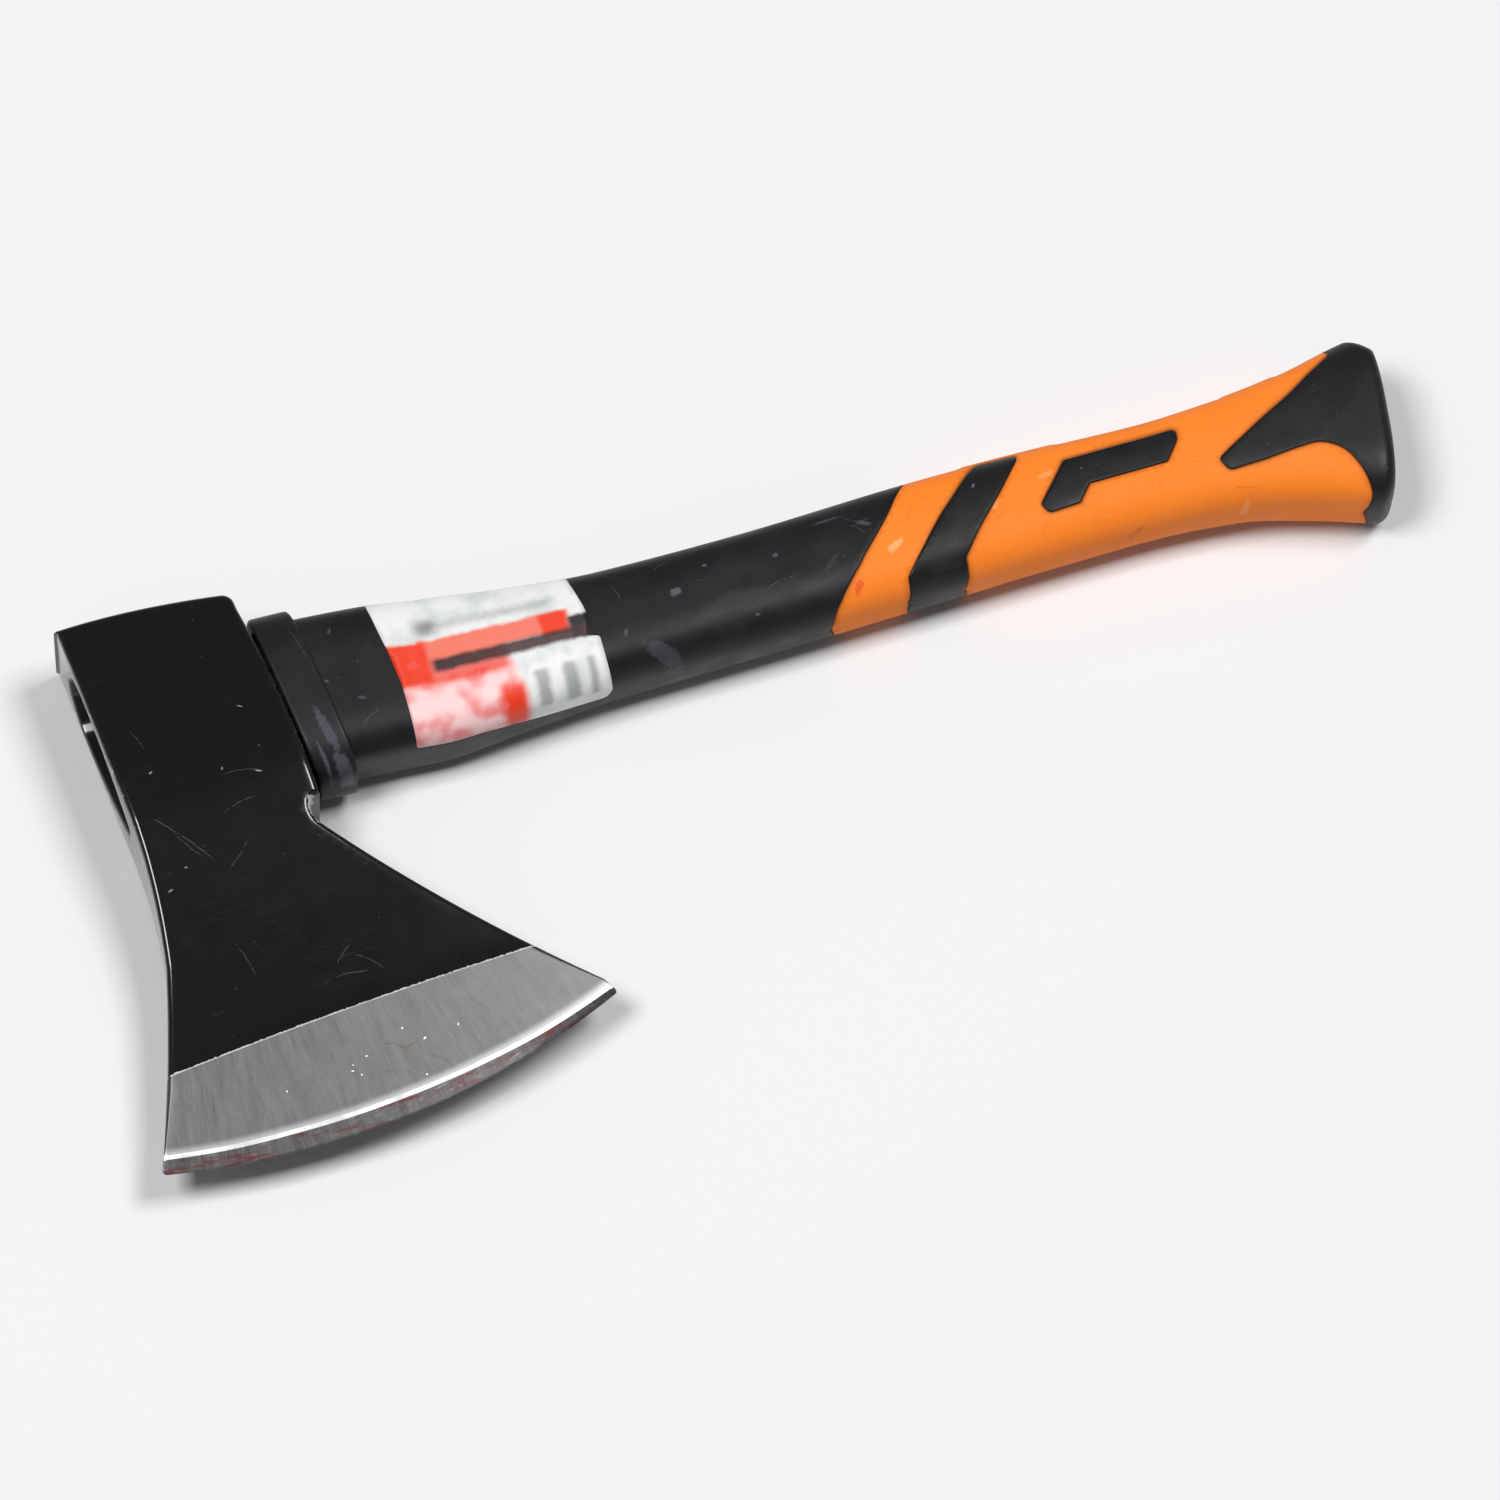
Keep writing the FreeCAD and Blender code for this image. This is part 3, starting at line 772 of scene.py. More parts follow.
def butt_end(turns):
    """Rows of points round the butt's edge and over its slightly domed end."""
    start_x = back_x(turns)
    middle, depth, thick, power = section(start_x)
    out = reach(depth, thick, power, turns)
    rows = []
    for angle in (0, 14, 28, 42, 56, 70, 82, 90):
        turned = math.radians(angle)
        less = out - END_ROUND * (1 - math.cos(turned))
        row = around_axis(start_x, middle, less, turns)
        if angle:
            row[:, 0] = end_x(row[:, 1]) - END_ROUND + END_ROUND * math.sin(turned)
        rows.append(row)
    rim = rows[-1]
    centre = np.array([0, float(rim[:, 1].mean()), 0])
    for scale in (0.82, 0.6, 0.38, 0.18):
        row = (rim - centre) * np.array([1, scale, scale]) + centre
        row[:, 0] = end_x(row[:, 1]) + END_DOME * (1 - scale)
        rows.append(row)
    return rows, (end_x(centre[1]) + END_DOME, centre[1], 0.0)


def make_jacket(sheet):
    """Black moulding: collar, tube, the room under the grip, the islands and the butt."""
    outer = sheet.grooved()
    count = len(outer)
    faces = sheet.black + [tuple(i + count for i in f) for f in sheet.orange]
    for a, b in off_plane_edges(sheet.orange, sheet):
        faces.append((b, a, a + count, b + count))
    points = [outer, sheet.points(-RUBBER_DEPTH)]
    add_end(points, faces, *collar_end(sheet.turns), flip=False)
    add_end(points, faces, *butt_end(sheet.turns), flip=True)
    points, faces = mirrored(np.vstack(points), faces)
    piece = new_object("handle_jacket_shell", points, faces)
    tidy_mesh(piece, sharp_degrees=50)
    mark_seam(piece, sheet)
    return piece


def make_grip(sheet):
    """Orange rubber: a shell with windows for the islands."""
    outer = sheet.grooved()
    inner = sheet.points(0.05 - RUBBER_DEPTH)
    faces = two_sided(sheet.orange, len(outer), off_plane_edges(sheet.orange, sheet))
    points, faces = mirrored(np.vstack([outer, inner]), faces)
    used = sorted({i for face in faces for i in face})
    renumbered = {old: new for new, old in enumerate(used)}
    faces = [tuple(renumbered[i] for i in face) for face in faces]
    piece = new_object("grip_shell", points[used], faces)
    tidy_mesh(piece, sharp_degrees=60)
    mark_seam(piece, sheet)
    return piece


def mark_seam(piece, sheet):
    """Stores on each vertex how near it is to a colour line, for the dirt in the groove."""
    samples = []
    for line, _ in sheet.lines:
        line = line[(line[:, 1] >= 0) & (line[:, 1] <= sheet.top)]
        upper = skin(line[:, 0], line[:, 1] / UNROLL)
        samples += [upper, upper * np.array([1, 1, -1])]
    samples = np.vstack(samples)
    tree = kdtree.KDTree(len(samples))
    for i, point in enumerate(samples):
        tree.insert(Vector(point), i)
    tree.balance()
    layer = piece.data.attributes.new("seam", "FLOAT", "POINT")
    for i, vertex in enumerate(piece.data.vertices):
        point = np.array(vertex.co) / MM - ORIGIN
        away = tree.find(Vector(point))[2]
        layer.data[i].value = float(np.clip(1 - away / DIRT_REACH, 0, 1))


# ---- label ----

FILM_LIFT, FILM_SINK = 0.16, 0.06         # its face above and its back below the plastic's skin


def make_label():
    """A thin film on the handle, with a flat map of its face."""
    line = flat_line(LABEL, 0.8)
    flat, faces = filled(line, grid((80, 142, 1.6), (5, 60, 1.1)), 0.7)
    count = len(flat)
    lift = FILM_LIFT - 0.05 * np.clip(1 - distance_to(flat, line) / 0.5, 0, 1)
    outer = skin(flat[:, 0], flat[:, 1] / UNROLL, lift)
    inner = skin(flat[:, 0], flat[:, 1] / UNROLL, -FILM_SINK)
    all_faces = two_sided(faces, count, open_edges(faces))
    piece = new_object("label_sheet", np.vstack([outer, inner]), all_faces)
    low, high = flat.min(axis=0), flat.max(axis=0)
    face_map = piece.data.uv_layers.new(name="print")
    for loop in piece.data.loops:
        x, y = flat[loop.vertex_index % count]
        face_map.data[loop.index].uv = ((x - low[0]) / (high[0] - low[0]),
                                        (y - low[1]) / (high[1] - low[1]))
    bm = bmesh.new()
    bm.from_mesh(piece.data)
    bmesh.ops.recalc_face_normals(bm, faces=bm.faces)
    bm.to_mesh(piece.data)
    bm.free()
    return piece


# ---- adhesive in the eye ----

FILL_DEPTH = 4.4


def make_eye_fill():
    """Set adhesive with an uneven face, some way below the mouth of the eye."""
    ring = eye_ring(grow=-0.04)
    flat, faces = filled(ring, grid((-58, -8, 0.8), (-11, 11.1, 0.8)), 0.45)
    count = len(flat)
    away = distance_to(flat, ring)
    uneven = np.array([noise.noise(Vector((y * 0.16, z * 0.16, 1.0))) for y, z in flat])
    fine = np.array([noise.noise(Vector((y * 0.6, z * 0.6, 7.0))) for y, z in flat])
    front_face = outer_face(flat[:, 0]) + FILL_DEPTH + 1.3 * uneven + 0.35 * fine
    front_face = front_face - 1.2 * np.clip(1 - away / 1.6, 0, 1)**2
    back_face = collar_x(flat[:, 0], 1.2)
    front_points = np.column_stack([front_face, flat])
    back_points = np.column_stack([back_face, flat])
    all_faces = two_sided(faces, count, open_edges(faces))
    piece = new_object("eye_fill", np.vstack([front_points, back_points]), all_faces)
    tidy_mesh(piece, sharp_degrees=60)
    return piece


# ---------------------------------------------------------------------------
# Materials
# ---------------------------------------------------------------------------
def feed(tree, socket, value):
    """Links another node's output to a socket, or sets the socket's value."""
    if isinstance(value, bpy.types.NodeSocket):
        tree.links.new(value, socket)
    else:
        socket.default_value = value


def add_node(tree, kind, inputs=None, **settings):
    made = tree.nodes.new(f"ShaderNode{kind}")
    for name, value in settings.items():
        setattr(made, name, value)
    for name, value in (inputs or {}).items():
        feed(tree, made.inputs[name], value)
    return made


class Shader:
    """A small builder for node materials, in millimetres of the drawing frame."""

    def __init__(self, name, **sockets):
        self.material = bpy.data.materials.new(name)
        self.material.use_nodes = True
        self.tree = self.material.node_tree
        self.bsdf = self.tree.nodes["Principled BSDF"]
        for socket, value in sockets.items():
            self.bsdf.inputs[socket.replace("_", " ")].default_value = value
        world = self.node("TexCoord").outputs["Object"]
        moved = self.node("VectorMath", {0: world, 1: tuple(ORIGIN * MM)}, operation="SUBTRACT")
        scaled = self.node("VectorMath", {0: moved.outputs[0], 3: 1 / MM}, operation="SCALE")
        self.place = scaled.outputs[0]
        self.height = self.parts(self.place)[2]
        self.upper = self.ramp(self.height, -0.5, 0.5)

    def node(self, kind, inputs=None, **settings):
        return add_node(self.tree, kind, inputs, **settings)

    def feed(self, socket, value):
        feed(self.tree, socket, value)

    def parts(self, vector):
        return self.node("SeparateXYZ", {"Vector": vector}).outputs

    def attribute(self, name):
        return self.node("Attribute", attribute_name=name).outputs["Fac"]

    def uv(self, name):
        return self.node("UVMap", uv_map=name).outputs["UV"]

    def stretched(self, vector, scale, turn=0.0, offset=(0, 0, 0)):
        return self.node("Mapping", {
            "Vector": vector, "Scale": scale, "Location": offset,
            "Rotation": (0, 0, math.radians(turn))}).outputs["Vector"]

    def noise(self, vector, scale=1.0, detail=3.0, rough=0.55, distort=0.0):
        return self.node("TexNoise", {
            "Vector": vector, "Scale": scale, "Detail": detail, "Roughness": rough,
            "Distortion": distort}).outputs["Fac"]

    def ramp(self, value, low, high, out_low=0.0, out_high=1.0):
        return self.node("MapRange", {
            "Value": value, "From Min": low, "From Max": high, "To Min": out_low,
            "To Max": out_high}, interpolation_type="SMOOTHSTEP").outputs["Result"]

    def grain(self, scale_along, scale_behind, detail, rough=0.55):
        """Noise over the head's ground faces, by the place along and behind the edge."""
        scale = (scale_along, scale_behind, 1)
        return self.noise(self.stretched(self.uv("grind"), scale), 1.0, detail, rough)

    def patches(self, scale, detail, low, high, rough=0.55):
        """A mask of patches with soft edges, 1 where the noise is over high."""
        return self.ramp(self.noise(self.place, scale, detail, rough), low, high)

    def clouds(self, scale, detail, low, high):
        """A value that drifts between low and high."""
        return self.ramp(self.noise(self.place, scale, detail), 0.3, 0.7, low, high)

    def math(self, operation, a, b=0.0):
        return self.node("Math", {0: a, 1: b}, operation=operation).outputs["Value"]

    def add(self, a, b):
        return self.math("ADD", a, b)

    def minus(self, a, b):
        return self.math("SUBTRACT", a, b)

    def times(self, first, *others):
        for other in others:
            first = self.math("MULTIPLY", first, other)
        return first

    def most(self, masks):
        result = masks[0]
        for mask in masks[1:]:
            result = self.math("MAXIMUM", result, mask)
        return result

    def blend(self, factor, a, b):
        """Colour a where factor is 0 and b where it is 1."""
        mix = self.node("Mix", data_type="RGBA")
        self.feed(mix.inputs["Factor"], factor)
        self.feed(mix.inputs[6], a)
        self.feed(mix.inputs[7], b)
        return mix.outputs[2]

    def over(self, colour, mask, strength, tint):
        """Lays the tint over the colour where the mask is 1, at some strength."""
        return self.blend(self.times(mask, strength), colour, tint)

    def specks(self, density, size, share=0.72):
        """Scattered small dots: cells per millimetre, dot size as a share of a cell."""
        cells = self.node("TexVoronoi", {"Vector": self.place, "Scale": density})
        near = self.math("LESS_THAN", cells.outputs["Distance"], size)
        colour = self.node("SeparateColor", {"Color": cells.outputs["Color"]})
        return self.times(near, self.math("GREATER_THAN", colour.outputs["Red"], share))

    def hairlines(self, scale, turn, amount, offset=(0, 0, 0)):
        """Fine broken scratches that run along the turned first axis."""
        lines = self.noise(self.stretched(self.place, scale, turn, offset), 1.0, 2.0, 0.5, 0.6)
        level = self.math("ABSOLUTE", self.minus(lines, 0.5))
        thin = self.ramp(level, 0.0, 0.006, 1.0, 0.0)
        cloud = self.noise(self.stretched(self.place, (1, 1, 1), 0, offset), 0.06, 2.0)
        return self.times(thin, self.ramp(cloud, 0.62 - amount, 0.70 - amount))

    def turned(self, x, y, turn):
        """Coordinates about a place, along and across a direction."""
        moved = self.node("VectorMath", {0: self.place, 1: (x, y, 0)}, operation="SUBTRACT")
        return self.parts(self.node("VectorRotate", {
            "Vector": moved.outputs[0], "Angle": -math.radians(turn)},
            rotation_type="Z_AXIS").outputs[0])

    def mark(self, x, y, length, width, turn=0.0, ragged=1.5, everywhere=False):
        """A soft mark with an uneven edge, on the upper side."""
        along, across, _ = self.turned(x, y, turn)
        along = self.math("DIVIDE", along, length)
        across = self.math("DIVIDE", across, width)
        far = self.math("SQRT", self.add(self.times(along, along), self.times(across, across)))
        uneven = self.minus(self.noise(self.place, 1.1 / width, 4.0, 0.65), 0.5)
        far = self.add(far, self.times(uneven, ragged))
        return self.times(self.ramp(far, 0.55, 1.0, 1.0, 0.0), 1.0 if everywhere else self.upper)

    def scratch(self, start, end, width=0.12, bend=0.4):
        """One scratch with tapered ends, on the upper side."""
        (x0, y0), (x1, y1) = start, end
        along, across, _ = self.turned(x0, y0, math.degrees(math.atan2(y1 - y0, x1 - x0)))
        t = self.math("DIVIDE", along, math.hypot(x1 - x0, y1 - y0))
        arch = self.times(t, self.minus(1.0, t), 4 * bend)
        waver = self.times(self.minus(self.noise(self.place, 0.35, 2.0), 0.5), 0.9)
        off = self.minus(across, self.add(arch, waver))
        line = self.ramp(self.math("ABSOLUTE", off), width * 0.3, width, 1.0, 0.0)
        ends = self.times(self.ramp(t, 0.0, 0.15), self.ramp(t, 0.75, 1.0, 1.0, 0.0))
        broken = self.patches(0.9, 2.0, 0.36, 0.5)
        return self.times(line, ends, broken, self.upper)

    def bump(self, height, strength, distance_mm):
        return self.node("Bump", {"Height": height, "Strength": strength,
                                  "Distance": distance_mm * MM}).outputs["Normal"]

    def set(self, socket, value):
        self.feed(self.bsdf.inputs[socket], value)


def grey(level, tint=(1.0, 1.0, 1.0)):
    return (level * tint[0], level * tint[1], level * tint[2], 1.0)


CHEEK_SCRATCHES = (          # start, end, half width, bend
    ((11.0, -58.5), (25.5, -74.5), 0.13, 0.3), ((16.5, -65.0), (22.5, -72.5), 0.10, -0.4),
    ((47.0, -112.0), (57.0, -112.5), 0.13, 0.5), ((53.5, -107.0), (60.5, -113.0), 0.10, 0.6),
    ((48.5, -108.5), (53.5, -104.0), 0.10, 0.3), ((30.0, -62.5), (41.0, -60.0), 0.10, 0.8),
    ((33.0, -52.0), (43.0, -53.5), 0.09, 0.5), ((12.0, -34.0), (15.0, -40.5), 0.10, 0.2),
    ((35.0, -70.0), (27.0, -78.0), 0.09, 0.4), ((24.0, -96.0), (27.5, -107.0), 0.09, 0.3),
)
CHEEK_FLECKS = (             # x, y, length, width, turn
    (42.0, -53.5, 1.2, 0.30, -20), (14.5, -47.0, 0.6, 0.30, 30), (11.5, -79.0, 0.9, 0.28, 20),
    (17.0, -74.0, 0.5, 0.25, 0), (42.0, -34.5, 1.0, 0.20, -30), (33.0, -50.5, 0.5, 0.25, 60),
)
NOTCH_WEAR = (54.0, -66.5, 4.4, 2.0, -78)


def paint_material():
    """Black enamel with worn edges, faint smudges and thin scratches."""
    s = Shader("black_paint", Base_Color=grey(0.007), Roughness=0.3, Specular_IOR_Level=0.03,
               Coat_Weight=1.0, Coat_Roughness=0.12)
    cloud = s.noise(s.place, 0.035, 4.0)
    colour = s.blend(cloud, grey(0.0045, (0.95, 1.0, 1.08)), grey(0.0065, (1.0, 1.03, 1.02)))
    smudge = s.patches(0.075, 6.0, 0.56, 0.76, 0.7)
    colour = s.over(colour, smudge, 0.25, grey(0.016, (0.96, 1.0, 1.05)))
    hair = s.most([
        s.hairlines((0.03, 0.5, 0.3), 48, 0.06),
        s.hairlines((0.04, 0.6, 0.3), -28, 0.03, (9, 4, 0)),
        s.hairlines((0.03, 0.5, 0.3), 75, 0.02, (3, 8, 0)),
    ])
    colour = s.over(colour, hair, 0.3, grey(0.035))
    long_ones = s.most([s.scratch(*row) for row in CHEEK_SCRATCHES])
    colour = s.over(colour, long_ones, 0.55, grey(0.16))
    flecks = s.most([s.mark(*row) for row in CHEEK_FLECKS])
    dust = s.most([s.specks(0.30, 0.05), s.specks(0.13, 0.035)])
    colour = s.over(colour, dust, 0.4, grey(0.15))
    colour = s.over(colour, flecks, 0.8, grey(0.3))

    edge = s.attribute("edge")
    wear = s.minus(s.noise(s.place, 0.5, 5.0, 0.7), s.times(edge, 0.22))
    chips = s.ramp(wear, 0.55, 0.60)
    rim = s.times(s.ramp(edge, 0.0, 0.5, 1.0, 0.0), s.patches(0.22, 4.0, 0.40, 0.55))
    above = s.attribute("above")
    torn = s.minus(s.times(s.noise(s.place, 0.9, 4.0, 0.7), 1.3), 0.3)
    line = s.ramp(s.minus(above, torn), -0.05, 0.06, 1.0, 0.0)
    depth = s.add(s.height, s.times(s.noise(s.place, 0.45, 4.0, 0.7), 10.0))
    notch = s.ramp(s.mark(*NOTCH_WEAR, everywhere=True), 0.2, 0.4)
    notch = s.times(notch, s.ramp(depth, 9.0, 12.5), 0.8)
    bare = s.math("MINIMUM", s.most([s.times(chips, 0.5), s.times(rim, 0.12), line, notch]), 1.0)
    s.set("Base Color", s.blend(bare, colour, grey(0.55, (1.0, 0.99, 0.97))))
    s.set("Metallic", s.times(bare, 0.45))
    rough = s.ramp(s.noise(s.place, 0.12, 5.0, 0.6), 0.3, 0.7, 0.20, 0.30)
    rough = s.add(rough, s.times(s.most([dust, hair]), 0.15))
    s.set("Roughness", s.add(rough, s.times(bare, 0.12)))
    dents = s.times(s.most([hair, long_ones, chips]), -0.7)
    s.set("Normal", s.bump(s.add(s.noise(s.place, 0.7, 3.0), dents), 0.10, 0.12))
    return s.material


BEVEL_FLECKS = (             # x, y, length, width, turn
    (60.5, -129.5, 0.40, 0.25, 20), (65.5, -133.5, 0.55, 0.30, 30), (49.5, -134.5, 0.35, 0.25, 0),
    (75.0, -132.0, 0.45, 0.22, 70), (45.0, -137.5, 0.40, 0.25, 0), (47.0, -139.0, 0.30, 0.25, 0),
    (27.0, -138.5, 0.35, 0.22, 50), (63.5, -143.0, 0.40, 0.25, 0), (45.5, -136.0, 0.30, 0.20, 0),
)
BEVEL_STAINS = (             # start, end, half width, bend
    ((54.0, -132.5), (61.0, -137.0), 0.28, 1.4), ((58.0, -134.0), (63.5, -133.5), 0.22, -0.8),
    ((63.5, -137.0), (72.0, -144.0), 0.20, 1.0), ((52.0, -139.5), (58.0, -141.5), 0.16, 0.7),
    ((80.0, -126.0), (84.0, -131.0), 0.14, 0.4),
)


def ground_steel(s, tone_low, tone_high):
    """Fine ground lines that run from the body to the edge."""
    lines = s.grain(3.6, 0.16, 4.0, 0.7)
    broad = s.grain(0.35, 0.05, 3.0, 0.6)
    tone = s.add(s.times(lines, 0.6), s.times(broad, 0.4))
    s.set("Normal", s.bump(lines, 0.22, 0.04))
    return s.blend(s.ramp(tone, 0.32, 0.68), grey(tone_low), grey(tone_high)), tone


def bevel_material():
    """The main ground bevel, with a painted highlight towards its shoulder, and stains and flecks.
    """
    s = Shader("ground_steel", Base_Color=grey(0.2), Roughness=0.4, Metallic=1.0)
    colour, tone = ground_steel(s, 0.091, 0.131)
    mottle = s.patches(0.16, 5.0, 0.50, 0.72, 0.65)
    colour = s.over(colour, mottle, 0.25, grey(0.16, (1.05, 1.0, 0.96)))
    behind = s.attribute("behind")
    # painted highlight: the colour lightens over the last few millimetres before the fine bevel
    shoulder_highlight = s.ramp(behind, BRIGHT_WIDTH * 0.8, 3.4, 1.0, 0.0)
    colour = s.over(colour, shoulder_highlight, 0.38, grey(0.62))
    stain = s.most([s.scratch(*row) for row in BEVEL_STAINS])
    colour = s.over(colour, stain, 0.75, (0.10, 0.065, 0.05, 1))
    flecks = s.most([s.mark(*row) for row in BEVEL_FLECKS] + [s.specks(0.24, 0.035, 0.8)])
    dark = s.specks(0.25, 0.06, 0.8)
    colour = s.over(colour, dark, 0.6, grey(0.05))
    s.set("Base Color", s.blend(flecks, colour, grey(0.85)))
    s.set("Metallic", s.minus(1.0, s.times(flecks, 0.9)))
    s.set("Roughness", s.ramp(tone, 0.3, 0.9, 0.36, 0.48))
    return s.material


def highlight_material():
    """The line along the shoulder of the fine bevel, lightened as a painted highlight and broken in
    patches.
    """
    s = Shader("highlight_steel", Base_Color=grey(0.85), Roughness=0.35, Metallic=0.3)
    # painted highlight: light tones that stand in for the shine off the edge between the bevels
    colour, tone = ground_steel(s, 0.70, 0.92)
    along = s.ramp(s.grain(0.09, 0.3, 3.0), 0.35, 0.6)
    s.set("Base Color", s.blend(along, s.blend(0.45, colour, grey(0.35)), colour))
    s.set("Roughness", s.ramp(tone, 0.3, 0.9, 0.30, 0.42))
    return s.material


def fine_material():
    """The fine bevel at the very edge: its darker tones and reddish patches are a painted
    reflection of darker surroundings, and its very edge is painted shade.
    """
    s = Shader("fine_ground_steel", Base_Color=grey(0.10), Roughness=0.36, Metallic=0.75)
    # painted shade: tones darker than the main bevel's, for a facet that reflects darker
    # surroundings
    colour, tone = ground_steel(s, 0.055, 0.115)
    # painted reflection: reddish patches
    patch = s.ramp(s.grain(0.07, 0.35, 5.0, 0.7), 0.47, 0.64)
    colour = s.over(colour, patch, 0.85, (0.10, 0.020, 0.022, 1))
    light = s.ramp(s.grain(0.2, 0.9, 5.0, 0.7), 0.54, 0.74)
    colour = s.over(colour, light, 0.5, grey(0.30))
    behind = s.attribute("behind")
    # painted shade along the very edge, where its face turns away from the light
    edge_shade = s.times(s.ramp(behind, -4.6, -3.9, 1.0, 0.0), 0.5)
    s.set("Base Color", s.blend(edge_shade, colour, grey(0.03)))
    s.set("Roughness", s.ramp(tone, 0.3, 0.9, 0.30, 0.44))
    return s.material


def head_materials():
    return [paint_material(), bevel_material(), highlight_material(), fine_material()]


JACKET_SCUFFS = (            # x, y, length, width, turn, strength
    (162.5, -31.5, 1.9, 1.3, 20, 0.8), (172.0, -26.0, 0.9, 0.6, 0, 0.7),
    (191.0, -28.0, 1.0, 0.7, 0, 0.6), (182.0, -43.0, 0.9, 0.5, 0, 0.5),
    (155.0, -46.5, 6.5, 2.4, -35, 0.30), (248.0, -22.0, 1.0, 0.45, 60, 1.0),
    (176.0, -38.0, 12.0, 3.0, 6, 0.10), (205.0, -34.0, 4.0, 1.0, 40, 0.15),
    (216.5, -25.0, 2.6, 0.7, -25, 0.45), (207.0, -21.5, 5.0, 0.5, 4, 0.35),
    (70.5, -19.0, 1.2, 0.5, 60, 0.4), (74.0, -40.0, 1.4, 0.6, -20, 0.4),
    (66.0, -33.0, 0.7, 0.5, 0, 0.5), (146.5, -39.5, 1.6, 0.7, 70, 0.4),
)
COLLAR_SMEARS = (            # x, y, length, width, turn
    (62.5, -46.5, 8.0, 1.7, -76), (64.5, -56.0, 4.5, 2.2, -66), (60.0, -53.5, 5.5, 0.7, -78),
)
JACKET_SCRATCHES = (         # start x and y, end x and y
    (211.5, -22.5, 218.0, -27.0), (213.0, -26.0, 219.0, -24.0), (212.0, -24.5, 216.5, -28.5),
    (72.0, -48.0, 78.0, -44.0), (146.0, -25.0, 147.5, -31.0), (60.0, -16.0, 62.5, -26.0),
    (186.0, -37.0, 196.0, -35.0), (158.0, -24.0, 163.0, -22.0),
)


def plastic_material():
    """Hard black plastic with a satin skin, scuffs and dust."""
    s = Shader("jacket_plastic", Base_Color=grey(0.010), Roughness=0.42, Specular_IOR_Level=0.22)
    cloud = s.noise(s.place, 0.05, 4.0)
    colour = s.blend(cloud, grey(0.0080, (0.94, 1.0, 1.15)), grey(0.0125, (0.96, 1.0, 1.14)))
    haze = s.ramp(s.noise(s.stretched(s.place, (0.4, 1, 1)), 0.11, 6.0, 0.7), 0.52, 0.74)
    colour = s.over(colour, haze, 0.35, grey(0.030, (0.96, 1.0, 1.08)))
    for x, y, length, width, turn, strength in JACKET_SCUFFS:
        colour = s.over(colour, s.mark(x, y, length, width, turn), strength,
                        grey(0.11, (0.95, 1.0, 1.1)))
    lines = s.most([s.scratch((a, b), (c, d), 0.12, 0.5) for a, b, c, d in JACKET_SCRATCHES])
    hair = s.hairlines((0.05, 0.5, 0.4), 20, 0.04)
    colour = s.over(colour, s.most([lines, s.times(hair, 0.4)]), 0.5, grey(0.12))
    dust = s.most([s.specks(0.33, 0.055), s.specks(0.14, 0.04)])
    colour = s.over(colour, dust, 0.45, grey(0.20))
    smear = s.most([s.mark(*row, 1.2) for row in COLLAR_SMEARS])
    colour = s.over(colour, smear, 0.75, (0.080, 0.082, 0.100, 1))
    # the mould's parting line at mid-thickness: a real ridge, bumped below, whose lighter colour is
    # a painted highlight
    parting_ridge_highlight = s.ramp(s.math("ABSOLUTE", s.height), 0.08, 0.22, 1.0, 0.0)
    colour = s.over(colour, parting_ridge_highlight, 0.6, grey(0.06))
    dirt = s.attribute("seam")
    s.set("Base Color", s.blend(s.times(dirt, 0.85), colour, grey(0.003)))
    rough = s.clouds(0.1, 5.0, 0.36, 0.48)
    s.set("Roughness", s.minus(rough, s.times(smear, 0.14)))
    height = s.add(s.noise(s.place, 1.6, 3.0), s.times(s.most([parting_ridge_highlight, lines]), 0.8))
    s.set("Normal", s.bump(height, 0.12, 0.1))
    return s.material


GRIP_MARKS = (               # x, y, length, width, turn, strength, colour
    (223.0, -33.5, 3.2, 1.3, 30, 0.55, (0.95, 0.50, 0.24, 1)),
    (210.5, -42.0, 2.6, 1.3, 50, 0.65, (0.72, 0.050, 0.012, 1)),
    (280.5, -47.5, 2.0, 0.7, 10, 0.6, (0.95, 0.36, 0.03, 1)),
    (252.0, -29.0, 2.2, 0.9, 50, 0.35, (0.95, 0.50, 0.24, 1)),
    (318.0, -44.0, 2.4, 0.8, 20, 0.35, (0.95, 0.45, 0.20, 1)),
    (268.0, -24.0, 3.0, 0.9, 15, 0.30, (0.95, 0.50, 0.24, 1)),
)
GRIP_SCRATCHES = (           # start x and y, end x and y
    (249.0, -35.5, 256.0, -30.5), (303.0, -31.5, 311.0, -31.0), (295.5, -36.0, 303.5, -29.5),
    (262.0, -40.0, 266.5, -36.0), (325.0, -22.0, 331.0, -20.5), (228.0, -28.0, 231.0, -22.5),
    (316.0, -40.0, 324.0, -42.5), (284.0, -44.0, 291.0, -42.5),
)


